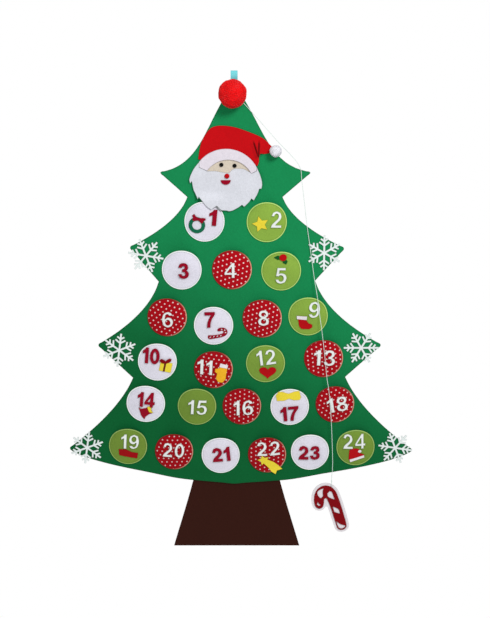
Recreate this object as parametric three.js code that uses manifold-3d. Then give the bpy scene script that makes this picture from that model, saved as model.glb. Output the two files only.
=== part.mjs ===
// A wall-hung advent calendar cut from felt, in the shape of a Christmas tree.
// Millimetres, +Z up. The origin is the top of the inside of the hanging loop, where a
// nail or hook holds it. The calendar faces -Y, and +X is to the viewer's right.
//
// Flat pieces are outlines in the XZ plane. A piece's depth is how far it lies in front
// of the tree's front face. Figures on a pocket follow the curve of that pocket's felt.

import * as THREE from 'three';
import { mergeVertices } from 'three/addons/utils/BufferGeometryUtils.js';
import Module from 'manifold-3d';

const wasm = await Module();
wasm.setup();

// Felt and the small clearance between pieces that touch
const clearance = 0.3;
const treeFelt = 3;
const pocketFelt = 2;
const figureFelt = 1.5;
const headFelt = 2;

// Hanging loop, a folded ribbon behind the top of the tree
const ribbonWidth = 13;
const ribbonThickness = 1;
const loopHalfOpening = 4.2;
const loopHeight = 26;
const ribbonTail = 42;

// The tree: four tiers, from the top down. A tip or notch is [x, z], left then right.
const treeTop = [-1, -26];
const treeTopHalfWidth = 11;
const treeTopDrop = 13;
const tipRounding = 11;
const treeBottom = [-2, -833];
const bottomEdgeSag = 30;
const bottomEdgeBend = 0.12;
const topFlare = [[0.32, 0.4], [0.4, 0.93]];
const middleFlare = [[0.11, 0.35], [0.45, 0.69]];
const bottomFlare = [[0.15, 0.31], [0.48, 0.64]];
const tiers = [
  { tips: [[-143, -189], [147, -189]], notches: [[-90, -237], [92, -237]], flare: topFlare },
  { tips: [[-204, -335], [214, -337]], notches: [[-148, -404], [157, -402]], flare: middleFlare },
  { tips: [[-272, -533], [291, -533]], notches: [[-203, -602], [220, -600]], flare: middleFlare },
  { tips: [[-337, -753], [361, -757]], notches: null, flare: bottomFlare },
];

// Trunk, sewn behind the bottom edge of the tree
const trunkCentre = 3;
const trunkOverlap = 34;
const trunkFlareRise = 15;
const trunkTopWidth = 174;
const trunkBottomWidth = 260;
const trunkBottom = -971;

// Pockets: felt discs sewn round their lower part and open at the top
const pocketRadius = 38.6;
const pocketBulge = 8.5;
const seamRadius = 37.1;
const mouthStart = 0.5;
const pocketSides = 24;
const pocketRings = [0.5, 0.8, 1];
const figureDrawnRadius = 38.6;
const pocketCentres = [
  [-57.5, -285], [62, -286],
  [-102.5, -380.5], [-5, -380], [90.5, -382.5],
  [-132.5, -476], [-41.5, -493], [54, -478.5], [144, -474],
  [-153.5, -568], [-42.5, -584], [61, -571.5], [176, -561],
  [-178.5, -656], [-76, -662], [14, -661.5], [110, -662.5], [200.5, -657],
  [-216.5, -747.5], [-123.5, -759], [-29, -767], [65, -766], [152, -760], [244, -750],
];
const whitePockets = [1, 3, 7, 10, 14, 17, 21, 23];
const greenPockets = [2, 5, 9, 12, 15, 19, 24];

// Snowflakes on the tips of the three lower tiers: name, centre and turn in degrees
const snowflakeRadius = 34.5;
const snowflakeStem = 3.8;
const snowflakeTwig = 3.4;
const snowflakeTwigAngle = 55;
const snowflakeTwigs = [{ root: 14.6, length: 12 }, { root: 23, length: 8.5 }];
const snowflakes = [
  { name: 'snowflake_upper_left', centre: [-171.5, -351.5], turn: 50 },
  { name: 'snowflake_upper_right', centre: [173.5, -346], turn: 30 },
  { name: 'snowflake_middle_left', centre: [-228.5, -543.5], turn: 22 },
  { name: 'snowflake_middle_right', centre: [250, -538.5], turn: 0 },
  { name: 'snowflake_lower_left', centre: [-299.5, -750.5], turn: 21 },
  { name: 'snowflake_lower_right', centre: [324.5, -751], turn: 51 },
];

// Pompoms
const topPompomRadius = 26.5;
const topPompomCentre = [-3, -39.5];
const topPompomDepth = 20;
const hatPompomRadius = 11.8;
const hatPompomCentre = [78, -147.5];
const hatPompomDepth = 8.5;

// The bearded head below the top
const brimUpper = [[-66.5, -168.5], [-15.7, -144], [42, -178.5]];
const brimLower = [[-51.5, -186], [-15.6, -165], [32, -191]];
const brimEndRise = [7, 5];
const hatUnderBrim = 6;
const faceUnderBrim = 6;
const eyeRadius = 4;
const eyeHeight = 3;
const eyeCentres = { santa_eye_left: [-24.5, -174.5], santa_eye_right: [0.5, -176.2] };
const noseRadius = 4.8;
const noseHeight = 4.5;
const noseCentre = [-14, -195.5];
const mouthWidth = 19;
const mouthDrop = 8.8;
const mouthCentre = [-16.3, -203.3];

// The lowest lock of the beard hangs over the mouth of the first pocket, so the beard is
// lifted there. It is flat over the pocket's width and slopes down on both sides.
const lockCentre = -48;
const lockFlat = 12;
const lockReach = 33;
const lockRampTop = -225;
const lockRamp = 17;

// Marker: a felt candy cane that hangs on a string and is moved from day to day
// The red felt's outline and its windows are chosen by hand, in the way that the marker
// hangs: [x, z] from the string, for a cane of the drawn height.
const caneHeight = 99;
const caneDrawnHeight = 99;
const caneMargin = 5.3;
const caneGapFill = 3;
const caneEdge = [
  [-35.2, -30.5], [-34.6, -38.5], [-32.4, -45], [-28.6, -49], [-24.6, -50.2], [-20.4, -49.2], [-17, -45.6],
  [-15.4, -39.6], [-14.8, -30.6], [-13.8, -28.3], [-12.4, -27.1], [-10.8, -27], [-9.3, -28], [-8.2, -29.9],
  [-6.9, -33], [-1.7, -46.3], [5.7, -69.8], [12, -89.5], [13.6, -94], [17.2, -97], [22, -97.9], [27.4, -96.4],
  [31, -92.6], [32.1, -87.6], [26.8, -66.4], [19.9, -42.9], [13.2, -22.9], [10.4, -15.8], [6.6, -9.6],
  [1.8, -4.4], [-4.6, -0.6], [-12, 0.8], [-18.4, -0.2], [-24.2, -3.4], [-29.2, -8.2], [-32.6, -14],
  [-34.6, -21.4],
];
const caneWindows = [
  [[-26.3, -10.2], [-28.4, -13.4], [-28.6, -17.8], [-25.4, -24.2], [-21.3, -27.6], [-17.1, -21.8], [-17.7, -15.5],
    [-17.3, -9], [-15.9, -5.2], [-20.5, -6.6]],
  [[-28.5, -34.7], [-29, -41.3], [-25.5, -44.2], [-21, -42.5], [-25.4, -38.9]],
  [[-8.4, -16.9], [-6.6, -23.6], [-1.4, -27.3], [7.2, -30.3], [4.4, -23], [0.9, -13.6], [-3.2, -10.9]],
  [[2.8, -45.6], [6.7, -58.1], [18.7, -62.1], [14.4, -51.4]],
  [[10.6, -78.7], [13.7, -87.7], [16.7, -93.6], [21.9, -95.2], [27.2, -92.9], [30.2, -88.2], [20.5, -85.5]],
];
const eyeletOver = [-1.4, -2.5];
const eyeletLean = 31;
const eyeletRadius = 0.95;
const markerPivot = [196.5, -830.5];
const markerDepth = 9;
const threadDiameter = 1;
const threadRingRadius = 4.5;
const knotRadius = 1.6;
const knotSink = 0.3;

// String from behind the top pompom down to the marker: [x, depth, z], chosen by hand.
// It lies over a snowflake and the pockets of the right-hand side.
const stringDiameter = 1.2;
const stringSides = 8;
const stringStep = 12;
const stringEnd = 8;
const stringPath = [
  [17, 0.95, -58], [31, 1.1, -73], [78, 1.4, -126], [124, 1.3, -178], [128.5, 1.3, -206],
  [139.8, 1.9, -294], [144.5, 2.9, -325], [148.2, 3.6, -350], [155.5, 8.3, -399], [162, 12.2, -437],
  [166.5, 12.7, -470], [171, 13.1, -500], [174, 13.3, -523], [178.5, 13.1, -560], [183, 12.9, -600],
  [186.5, 12.8, -620], [190, 12.3, -652], [193.2, 10.9, -690], [196.5, 9.5, -746], [198, 9.1, -790],
];

// Everything in front of the tree is placed from its front face
const frontFace = -(ribbonThickness + 1.5 * clearance + treeFelt);

// Colours of the felt, yarn and ribbon
const colours = {
  tree: 0x18824c, trunk: 0x3a1b14, white: 0xe6e4ea, green: 0x8cb248, red: 0xbe051e, pompom: 0xe8141e,
  hat: 0xc8121c, face: 0xded2c3, ribbon: 0x78dede, yellow: 0xf5d73c, orange: 0xfabe28, leaf: 0x1f6b45,
  black: 0x111111, string: 0xf2f2f0,
};
const calendar = new THREE.Group();

function material(colour) {
  return new THREE.MeshStandardMaterial({ color: colours[colour], roughness: 0.95, metalness: 0 });
}

function place(parent, name, geometry, colour) {
  const mesh = new THREE.Mesh(geometry, material(colour));
  mesh.name = name;
  parent.add(mesh);
  return mesh;
}

// Solids for joining and cutting

function toSolid(geometry) {
  const bare = geometry.clone();
  bare.deleteAttribute('normal');
  bare.deleteAttribute('uv');
  const merged = mergeVertices(bare, 1e-4);
  const mesh = new wasm.Mesh({
    numProp: 3,
    vertProperties: new Float32Array(merged.attributes.position.array),
    triVerts: new Uint32Array(merged.index.array),
  });
  return new wasm.Manifold(mesh);
}

function toGeometry(solid) {
  const mesh = solid.getMesh();
  const geometry = new THREE.BufferGeometry();
  geometry.setAttribute('position', new THREE.BufferAttribute(mesh.vertProperties, 3));
  geometry.setIndex(new THREE.BufferAttribute(mesh.triVerts, 1));
  geometry.computeVertexNormals();
  return geometry;
}

function union(geometries) {
  const [first, ...rest] = geometries.map(toSolid);
  return toGeometry(rest.reduce((sum, solid) => sum.add(solid), first));
}

// Outlines

function shapeOf(points) {
  return new THREE.Shape(points.map(([x, z]) => new THREE.Vector2(x, z)));
}

function circlePoints(centre, radius, sides) {
  return Array.from({ length: sides }, (_, i) => {
    const angle = (2 * Math.PI * i) / sides;
    return [centre[0] + radius * Math.cos(angle), centre[1] + radius * Math.sin(angle)];
  });
}

// The arc through three points, from the first to the last
function arcThrough([a, b, c], steps) {
  const d = 2 * (a[0] * (b[1] - c[1]) + b[0] * (c[1] - a[1]) + c[0] * (a[1] - b[1]));
  const [aa, bb, cc] = [a, b, c].map(([x, z]) => x * x + z * z);
  const centreX = (aa * (b[1] - c[1]) + bb * (c[1] - a[1]) + cc * (a[1] - b[1])) / d;
  const centreZ = (aa * (c[0] - b[0]) + bb * (a[0] - c[0]) + cc * (b[0] - a[0])) / d;
  const radius = Math.hypot(a[0] - centreX, a[1] - centreZ);
  const start = Math.atan2(a[1] - centreZ, a[0] - centreX);
  const end = Math.atan2(c[1] - centreZ, c[0] - centreX);
  return Array.from({ length: steps + 1 }, (_, i) => {
    const angle = start + ((end - start) * i) / steps;
    return [centreX + radius * Math.cos(angle), centreZ + radius * Math.sin(angle)];
  });
}

function shifted(points, dz) {
  return points.map(([x, z]) => [x, z + dz]);
}

function moved(points, centre) {
  return points.map(([x, z]) => [x + centre[0], z + centre[1]]);
}

// A flat piece of felt with this outline, its back at a depth in front of the tree
function sheet(shape, depth, thickness) {
  const geometry = new THREE.ExtrudeGeometry(shape, { depth: thickness, bevelEnabled: false });
  geometry.rotateX(Math.PI / 2);
  geometry.translate(0, frontFace - depth, 0);
  return geometry;
}

// A layer of felt over a grid of [x, z] points, with its own depth at each point
function layer(grid, depthAt, thickness) {
  const count = grid.points.length;
  const positions = [];
  for (const offset of [0, thickness]) {
    for (const [x, z] of grid.points) {
      positions.push(x, frontFace - depthAt(x, z) - offset, z);
    }
  }
  const index = [];
  for (const [a, b, c] of grid.triangles) {
    index.push(a, c, b, a + count, b + count, c + count);
  }
  grid.rim.forEach((from, i) => {
    const to = grid.rim[(i + 1) % grid.rim.length];
    index.push(from, to, to + count, from, to + count, from + count);
  });
  const geometry = new THREE.BufferGeometry();
  geometry.setAttribute('position', new THREE.Float32BufferAttribute(positions, 3));
  geometry.setIndex(index);
  geometry.computeVertexNormals();
  return geometry;
}

// A disc of triangles in rings round a centre; rings are fractions of the radius
function discGrid(centre, radius, rings, sides) {
  const points = [centre];
  for (const ring of rings) {
    points.push(...circlePoints(centre, radius * ring, sides));
  }
  const triangles = [];
  for (let i = 0; i < sides; i += 1) {
    const next = (i + 1) % sides;
    triangles.push([0, 1 + i, 1 + next]);
    for (let r = 1; r < rings.length; r += 1) {
      const inner = 1 + (r - 1) * sides;
      const outer = 1 + r * sides;
      triangles.push([inner + i, outer + i, outer + next], [inner + i, outer + next, inner + next]);
    }
  }
  const rimStart = 1 + (rings.length - 1) * sides;
  return { points, triangles, rim: Array.from({ length: sides }, (_, i) => rimStart + i) };
}

// A rectangular grid with lines at the given x and z values, both rising
function boxGrid(xs, zs) {
  const points = zs.flatMap((z) => xs.map((x) => [x, z]));
  const at = (i, j) => j * xs.length + i;
  const triangles = [];
  for (let j = 0; j + 1 < zs.length; j += 1) {
    for (let i = 0; i + 1 < xs.length; i += 1) {
      triangles.push([at(i, j), at(i + 1, j), at(i + 1, j + 1)]);
      triangles.push([at(i, j), at(i + 1, j + 1), at(i, j + 1)]);
    }
  }
  const rim = [];
  for (let i = 0; i + 1 < xs.length; i += 1) rim.push(at(i, 0));
  for (let j = 0; j + 1 < zs.length; j += 1) rim.push(at(xs.length - 1, j));
  for (let i = xs.length - 1; i > 0; i -= 1) rim.push(at(i, zs.length - 1));
  for (let j = zs.length - 1; j > 0; j -= 1) rim.push(at(0, j));
  return { points, triangles, rim };
}

function smoothstep(t) {
  const s = Math.min(Math.max(t, 0), 1);
  return s * s * (3 - 2 * s);
}

// Tree

function tierEdges(side) {
  const sign = side === 0 ? -1 : 1;
  let start = [treeTop[0] + sign * treeTopHalfWidth, treeTop[1] - treeTopDrop];
  return tiers.map((tier) => {
    const under = tier.notches ? tier.notches[side] : treeBottom;
    const edge = { start, tip: tier.tips[side], under, flare: tier.flare, last: !tier.notches };
    start = under;
    return edge;
  });
}

// One tier's edge: out along the flare, round the tip, and in to the notch below it
function tierEdge({ start, tip, under, flare, last }) {
  const [width, height] = [tip[0] - start[0], tip[1] - start[1]];
  const at = ([u, v]) => new THREE.Vector2(start[0] + width * u, start[1] + height * v);
  const flareCurve = new THREE.CubicBezierCurve(at([0, 0]), at(flare[0]), at(flare[1]), at([1, 1]));
  const tipPoint = new THREE.Vector2(...tip);
  const underPoint = new THREE.Vector2(...under);
  const middle = tipPoint.clone().lerp(underPoint, last ? bottomEdgeBend : 0.5);
  middle.y -= last ? bottomEdgeSag : 0;
  const underCurve = new THREE.QuadraticBezierCurve(tipPoint, middle, underPoint);
  const tipStart = flareCurve.getPointAt(1 - tipRounding / flareCurve.getLength());
  const tipEnd = underCurve.getPointAt(tipRounding / underCurve.getLength());
  const outer = tipPoint.clone().multiplyScalar(2).sub(tipStart.clone().lerp(tipEnd, 0.5));
  const corner = tipPoint.clone().lerp(outer, 0.5);
  const round = new THREE.QuadraticBezierCurve(tipStart, corner, tipEnd);
  const flareSteps = 10;
  const points = [];
  for (let i = 0; i < flareSteps; i += 1) {
    points.push(flareCurve.getPointAt((i / flareSteps) * (1 - tipRounding / flareCurve.getLength())));
  }
  points.push(...round.getPoints(5));
  const underSteps = last ? 14 : 1;
  for (let i = 1; i < underSteps; i += 1) {
    points.push(underCurve.getPointAt(i / underSteps));
  }
  return points;
}

function treePanel() {
  const [left, right] = [0, 1].map((side) => tierEdges(side).flatMap(tierEdge));
  const top = new THREE.QuadraticBezierCurve(
    new THREE.Vector2(treeTop[0] + treeTopHalfWidth, treeTop[1] - treeTopDrop),
    new THREE.Vector2(treeTop[0], treeTop[1] + treeTopDrop),
    new THREE.Vector2(treeTop[0] - treeTopHalfWidth, treeTop[1] - treeTopDrop),
  );
  const crown = top.getPoints(8).slice(1, -1);
  const outline = [...left, new THREE.Vector2(...treeBottom), ...right.reverse(), ...crown];
  return sheet(new THREE.Shape(outline), -treeFelt, treeFelt);
}

function trunk() {
  const top = treeBottom[1] + trunkOverlap;
  const flareStart = treeBottom[1] + trunkFlareRise;
  const half = trunkTopWidth / 2;
  const foot = trunkBottomWidth / 2;
  const outline = [[-half, top], [-half, flareStart], [-foot, trunkBottom], [foot, trunkBottom],
    [half, flareStart], [half, top]];
  return sheet(shapeOf(moved(outline, [trunkCentre, 0])), -(2 * treeFelt + clearance), treeFelt);
}

// Ribbon loop: a band of constant thickness along a teardrop, its two tails side by side
function hangingLoop() {
  const tail = (ribbonThickness + clearance) / 2;
  const half = ribbonThickness / 2;
  const belly = loopHalfOpening + half;
  const side = [
    [tail, -loopHeight - ribbonTail],
    [tail, -loopHeight - 4],
    [tail, -loopHeight],
    [belly * 0.8, -loopHeight * 0.66],
    [belly, -loopHeight * 0.34],
    [belly * 0.62, -loopHeight * 0.08 + half],
  ];
  const mirrored = side.map(([y, z]) => [-y, z]).reverse();
  const centre = [...side, [0, half], ...mirrored].map(([y, z]) => new THREE.Vector3(y, z, 0));
  const curve = new THREE.CatmullRomCurve3(centre, false, 'centripetal');
  const samples = 44;
  const outer = [];
  const inner = [];
  for (let i = 0; i <= samples; i += 1) {
    const point = curve.getPoint(i / samples);
    const along = curve.getTangent(i / samples);
    outer.push(new THREE.Vector2(point.x + along.y * half, point.y - along.x * half));
    inner.push(new THREE.Vector2(point.x - along.y * half, point.y + along.x * half));
  }
  const band = new THREE.Shape([...outer, ...inner.reverse()]);
  const geometry = new THREE.ExtrudeGeometry(band, { depth: ribbonWidth, bevelEnabled: false });
  geometry.translate(0, 0, -ribbonWidth / 2);
  geometry.rotateX(Math.PI / 2);
  geometry.rotateZ(Math.PI / 2);
  return geometry;
}

// A ball with its back cut flat on the felt behind it
function pompom(centre, radius, depth, backDepth, segments) {
  const ball = new THREE.SphereGeometry(radius, segments, Math.round(segments * 0.7));
  ball.translate(centre[0], frontFace - depth, centre[1]);
  const reach = 4 * radius;
  const behind = new THREE.BoxGeometry(reach, reach, reach);
  behind.translate(centre[0], frontFace - backDepth + reach / 2, centre[1]);
  return toGeometry(toSolid(ball).subtract(toSolid(behind)));
}

// Pockets

// How far a pocket's felt stands off the tree, x and z measured from its centre.
// It is sewn down along the seam and stands open above, where the mouth is.
function bulge(x, z) {
  const seam = seamRadius / pocketRadius;
  const u = Math.abs(x) / pocketRadius;
  const w = z / pocketRadius;
  const level = Math.min(Math.max(w, -seam), mouthStart);
  const halfChord = Math.sqrt(Math.max(seam * seam - level * level, 0));
  const across = u < halfChord ? 1 - (u / halfChord) ** 2 : 0;
  return pocketBulge * across * smoothstep((w + seam) / (mouthStart + seam));
}

function pocketDepth(centre) {
  return (x, z) => clearance + bulge(x - centre[0], z - centre[1]);
}

function pocket(centre) {
  return layer(discGrid(centre, pocketRadius, pocketRings, pocketSides), pocketDepth(centre), pocketFelt);
}

// A felt figure that lies on a pocket and follows it, also where it reaches past the rim.
// Its outlines are drawn for a pocket of one size, and follow the pocket to any other.
function figure(number, outlines) {
  const centre = pocketCentres[number - 1];
  const grow = pocketRadius / figureDrawnRadius;
  const onPocket = (points) => shapeOf(moved(points.map(([x, z]) => [x * grow, z * grow]), centre));
  const backDepth = (x, z) => pocketDepth(centre)(x, z) + pocketFelt + clearance;
  const reach = [...pocketRings, 1.4];
  const cover = toSolid(layer(discGrid(centre, pocketRadius, reach, pocketSides), backDepth, figureFelt));
  const tall = pocketBulge + 4 * pocketFelt;
  const prisms = outlines.map((outline) => {
    const shape = onPocket(outline.points);
    if (outline.hole) shape.holes.push(onPocket(outline.hole));
    return sheet(shape, 0, tall);
  });
  return toGeometry(toSolid(union(prisms)).intersect(cover));
}

// Figures, each drawn round the centre of its pocket

function starPoints(centre, outer, inner, arms, turn) {
  return Array.from({ length: 2 * arms }, (_, i) => {
    const radius = i % 2 ? inner : outer;
    const angle = ((turn + (180 * i) / arms) * Math.PI) / 180;
    return [centre[0] + radius * Math.cos(angle), centre[1] + radius * Math.sin(angle)];
  });
}

function wreath() {
  const ring = [-14.5, -4.8];
  const bow = [[-22, 15], [-19, 18], [-9, 12.5], [1, 10], [3.5, 6.5], [-2.5, 2], [-6.5, 0], [-10.5, 7],
    [-21, 8]];
  return [{ points: circlePoints(ring, 15.5, 22), hole: circlePoints(ring, 9, 16) }, { points: bow }];
}

function star() {
  return [{ points: starPoints([-11.6, -0.6], 15, 7, 5, 74) }];
}

function holly() {
  const leftLeaf = [[-14.5, 29.5], [-7, 33.5], [1, 31], [1, 27], [-7, 25]];
  const lowerLeaf = [[1, 29], [8, 27], [12, 21.5], [9.5, 16], [3, 19]];
  return [{ points: leftLeaf }, { points: lowerLeaf }, { points: circlePoints([3.3, 29.8], 7.2, 12) }];
}

function cane() {
  const hook = [22.5, -9.5];
  const arc = [-64, -32, 0, 32, 64, 98, 130].map((degrees) => (degrees * Math.PI) / 180);
  const outer = arc.map((angle) => [hook[0] + 8.8 * Math.cos(angle), hook[1] + 8.8 * Math.sin(angle)]);
  const inner = arc.map((angle) => [hook[0] + 2.8 * Math.cos(angle), hook[1] + 2.8 * Math.sin(angle)]);
  return [{ points: [[-11, -26.5], [6, -21.7], ...outer, ...inner.reverse(), [-12.5, -21]] }];
}

function stocking() {
  const cuff = [[-22.5, 3.3], [-22, -3.5], [-3, -4.8], [-2.5, 2.5]];
  const sock = [[-20, -2], [-17.5, -18.5], [-13, -24.5], [3, -25], [8.5, -21], [8, -15.5], [1, -12.5],
    [-3.5, -6]];
  return [{ points: cuff }, { points: sock }];
}

function gift() {
  const box = [[3, 1], [0, -19], [25, -23], [32, -3], [29, 1]];
  const bow = [[5, 6.5], [9, 9.3], [17, 4.5], [24, 8.5], [28, 5.5], [26, -1], [17, 0], [8, 0]];
  return [{ points: box }, { points: bow }];
}

function mitten() {
  const points = [[14.5, 16], [29, 10.5], [26.5, -2], [24, -19], [18, -26.5], [9, -25], [5, -17],
    [7.5, -6], [3, -2], [4, 4.5], [12, 5.5]];
  return [{ points }];
}

function heart() {
  const steps = 20;
  const points = Array.from({ length: steps }, (_, i) => {
    const t = (2 * Math.PI * i) / steps;
    const side = 17.2 * Math.sin(t) ** 3;
    const up = 12 * Math.cos(t) - 4.6 * Math.cos(2 * t) - 1.9 * Math.cos(3 * t) - Math.cos(4 * t);
    return [4.4 + side, -16 + 0.98 * up];
  });
  return [{ points: points.reverse() }];
}

function bell() {
  const points = [[-14, -6], [-8.5, -8.5], [1, -6.5], [4.5, -3.5], [12.5, -2.5], [10.5, -10], [14, -18],
    [6, -21], [-1, -27], [-3.5, -32.5], [-9.5, -24], [-12, -14]];
  return [{ points }];
}

function bowTie() {
  const points = [[-26, 14.5], [-11, 16.5], [-2, 21], [8, 17.5], [20, 17.5], [22, 23], [18.5, 36.5],
    [8, 35.5], [-3, 31.5], [-15, 34.5], [-23, 34], [-28, 25]];
  return [{ points }];
}

function scarf() {
  const points = [[-18.5, -3.8], [-18, -17.5], [-6, -20.5], [8, -23.5], [18, -25], [20.3, -13], [8, -10.5],
    [-4, -3.8]];
  return [{ points }];
}

function comet() {
  const head = starPoints([-7, -9.5], 12.5, 6.3, 5, 108);
  const tail = [[-9, -15], [3, -27], [9, -36], [17.5, -41.5], [20.5, -33.5], [31, -30], [22, -21],
    [14, -14], [-1, -7]];
  return [{ points: head }, { points: tail }];
}

function smallHat() {
  const points = [[-13.5, -24], [-13, -4], [-7, 1], [4, 0.8], [9, -3], [10, -8], [5, -8.5],
    [17.5, -13.5], [18, -19.5], [-10, -30.5]];
  return [{ points }];
}

const figures = [
  { name: 'wreath_figure_01', pocket: 1, outlines: wreath(), colour: 'leaf' },
  { name: 'star_figure_02', pocket: 2, outlines: star(), colour: 'yellow' },
  { name: 'holly_figure_05', pocket: 5, outlines: holly(), colour: 'leaf' },
  { name: 'cane_figure_07', pocket: 7, outlines: cane(), colour: 'red' },
  { name: 'stocking_figure_09', pocket: 9, outlines: stocking(), colour: 'red' },
  { name: 'gift_figure_10', pocket: 10, outlines: gift(), colour: 'yellow' },
  { name: 'mitten_figure_11', pocket: 11, outlines: mitten(), colour: 'orange' },
  { name: 'heart_figure_12', pocket: 12, outlines: heart(), colour: 'red' },
  { name: 'bell_figure_14', pocket: 14, outlines: bell(), colour: 'red' },
  { name: 'bow_figure_17', pocket: 17, outlines: bowTie(), colour: 'yellow' },
  { name: 'scarf_figure_19', pocket: 19, outlines: scarf(), colour: 'red' },
  { name: 'comet_figure_22', pocket: 22, outlines: comet(), colour: 'yellow' },
  { name: 'hat_figure_24', pocket: 24, outlines: smallHat(), colour: 'red' },
];

// Snowflake

// The upper half of one arm, pointing along +X, from the hub to the tip
function snowflakeHalfArm() {
  const stem = snowflakeStem / 2;
  const half = snowflakeTwig / 2;
  const angle = (snowflakeTwigAngle * Math.PI) / 180;
  const [c, s] = [Math.cos(angle), Math.sin(angle)];
  const points = [];
  for (const { root, length } of snowflakeTwigs) {
    for (const side of [1, -1]) {
      const base = [root - side * half * s, side * half * c];
      const along = (stem - base[1]) / s;
      const rootPoint = [base[0] + along * c, stem];
      const endPoint = [base[0] + length * c, base[1] + length * s];
      points.push(...(side > 0 ? [rootPoint, endPoint] : [endPoint, rootPoint]));
    }
  }
  points.push([snowflakeRadius, stem]);
  return points;
}

function snowflake({ centre, turn }) {
  const arms = 6;
  const upper = snowflakeHalfArm();
  const lower = upper.map(([x, z]) => [x, -z]);
  const hub = snowflakeStem / 2 / Math.sin(Math.PI / arms);
  const hubCorner = [hub * Math.cos(Math.PI / arms), hub * Math.sin(Math.PI / arms)];
  const arm = [...lower, ...upper.reverse(), hubCorner];
  const outline = [];
  for (let i = 0; i < arms; i += 1) {
    const angle = ((turn + (360 * i) / arms) * Math.PI) / 180;
    for (const [x, z] of arm) {
      outline.push([x * Math.cos(angle) - z * Math.sin(angle), x * Math.sin(angle) + z * Math.cos(angle)]);
    }
  }
  return sheet(shapeOf(moved(outline, centre)), clearance, figureFelt);
}

// Head

function hat() {
  const crown = [[-68.5, -164], [-63, -135], [-55.5, -119], [-45, -106], [-34, -101.5], [-17, -101],
    [0, -103.5], [14, -107.5], [34, -115], [52, -123], [62, -130.5], [69.5, -138.5], [76, -143.5],
    [75, -150.5], [65, -152.8], [56, -154], [49, -153], [47, -161], [46.5, -169], [44, -177]];
  const hidden = arcThrough(shifted(brimUpper, -hatUnderBrim), 10).reverse().slice(1, -1);
  return sheet(shapeOf([...crown, ...hidden]), clearance, headFelt);
}

function brim(grow = 0) {
  const upper = arcThrough(brimUpper, 14).map(([x, z]) => [x, z + grow]);
  const lower = arcThrough(brimLower, 14).map(([x, z]) => [x, z - grow]).reverse();
  const leftEnd = [brimUpper[0][0] - grow, brimLower[0][1] - grow + brimEndRise[0]];
  const rightEnd = [brimUpper[2][0] + grow, brimLower[2][1] - grow + brimEndRise[1]];
  return [...upper, rightEnd, ...lower, leftEnd];
}

function face() {
  const top = arcThrough(shifted(brimLower, faceUnderBrim), 12);
  const hidden = [[40, -203], [18, -215], [-16, -219], [-44, -213], [-58, -198]];
  return sheet(shapeOf([...top, ...hidden].reverse()), clearance, headFelt);
}

// The beard lies on the face, apart from the lock that passes in front of the first pocket
function beardDepth(x, z) {
  const rest = 2 * clearance + headFelt;
  const over = 2 * clearance + pocketBulge + pocketFelt;
  const sideways = smoothstep((lockReach - Math.abs(x - lockCentre)) / (lockReach - lockFlat));
  const down = smoothstep((lockRampTop - z) / lockRamp);
  return rest + (over - rest) * sideways * down;
}

function beard() {
  const outerLocks = [[-66.5, -169], [-78, -184], [-85.5, -202], [-84, -209.5], [-80.8, -205.5],
    [-77.7, -222.5], [-69.7, -239.2], [-67.5, -235], [-59.5, -244.2], [-53, -252.5], [-44, -259],
    [-33.6, -251.2], [-24.6, -261], [-8.4, -263.5], [4, -258.5], [14.6, -251.2], [18.4, -254.7],
    [27, -247], [32.7, -239], [37.1, -242.5], [43.5, -231], [47.4, -220.5], [51.7, -219.6], [53, -210],
    [49, -194], [42.5, -179]];
  const faceEdge = [[32, -190.3], [18.4, -182.6], [7, -181.4], [-1, -182.2], [-4.8, -184.5],
    [-10, -189.2], [-14.5, -189.8], [-23.3, -188.5], [-36.6, -186.3], [-52, -186.6]];
  const prism = sheet(shapeOf([...outerLocks, ...faceEdge]), 0, 4 * pocketBulge);
  const xs = [-92, -81, -74, -67, -60, -48, -36, -29, -22, -15, 0, 62];
  const zs = [-270, -242, -237.5, -233.5, -229.5, -225, -150];
  const cloth = layer(boxGrid(xs, zs), beardDepth, headFelt);
  const brimSpace = sheet(shapeOf(brim(clearance)), 0, 4 * headFelt);
  return toGeometry(toSolid(prism).intersect(toSolid(cloth)).subtract(toSolid(brimSpace)));
}

// A small domed button with its flat back at a depth
function button(centre, radius, height, depth) {
  const profile = [[0, 0], [1, 0], [0.94, 0.45], [0.66, 0.84], [0, 1]];
  const points = profile.map(([r, h]) => new THREE.Vector2(r * radius, h * height));
  const dome = new THREE.LatheGeometry(points, 14);
  dome.rotateX(Math.PI);
  dome.translate(centre[0], frontFace - depth, centre[1]);
  return dome;
}

function mouth() {
  const half = mouthWidth / 2;
  const curve = Array.from({ length: 9 }, (_, i) => {
    const angle = Math.PI + (Math.PI * i) / 8;
    return [half * Math.cos(angle), mouthDrop * Math.sin(angle)];
  });
  return sheet(shapeOf(moved(curve, mouthCentre)), 3 * clearance + 2 * headFelt, figureFelt);
}

// Marker

const caneScale = caneHeight / caneDrawnHeight;
const ofCane = ([x, z]) => [x * caneScale, z * caneScale];

// The eyelet lies in the middle of the margin round the red felt
const eyeletLeanRad = (eyeletLean * Math.PI) / 180;
const eyelet = [
  ofCane(eyeletOver)[0] + (caneMargin / 2) * Math.sin(eyeletLeanRad),
  ofCane(eyeletOver)[1] + (caneMargin / 2) * Math.cos(eyeletLeanRad),
];

// The white felt follows the red one at the margin, and fills the narrow gap of the hook
function caneBackingEdge() {
  const corner = 'Round';
  const [mitre, sides, tolerance] = [2, 24, 0.15];
  const red = new wasm.CrossSection([caneEdge.map(ofCane)]);
  const grown = red.offset(caneMargin + caneGapFill, corner, mitre, sides);
  const [outline] = grown.offset(-caneGapFill, corner, mitre, sides).simplify(tolerance).toPolygons();
  return outline;
}

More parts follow.
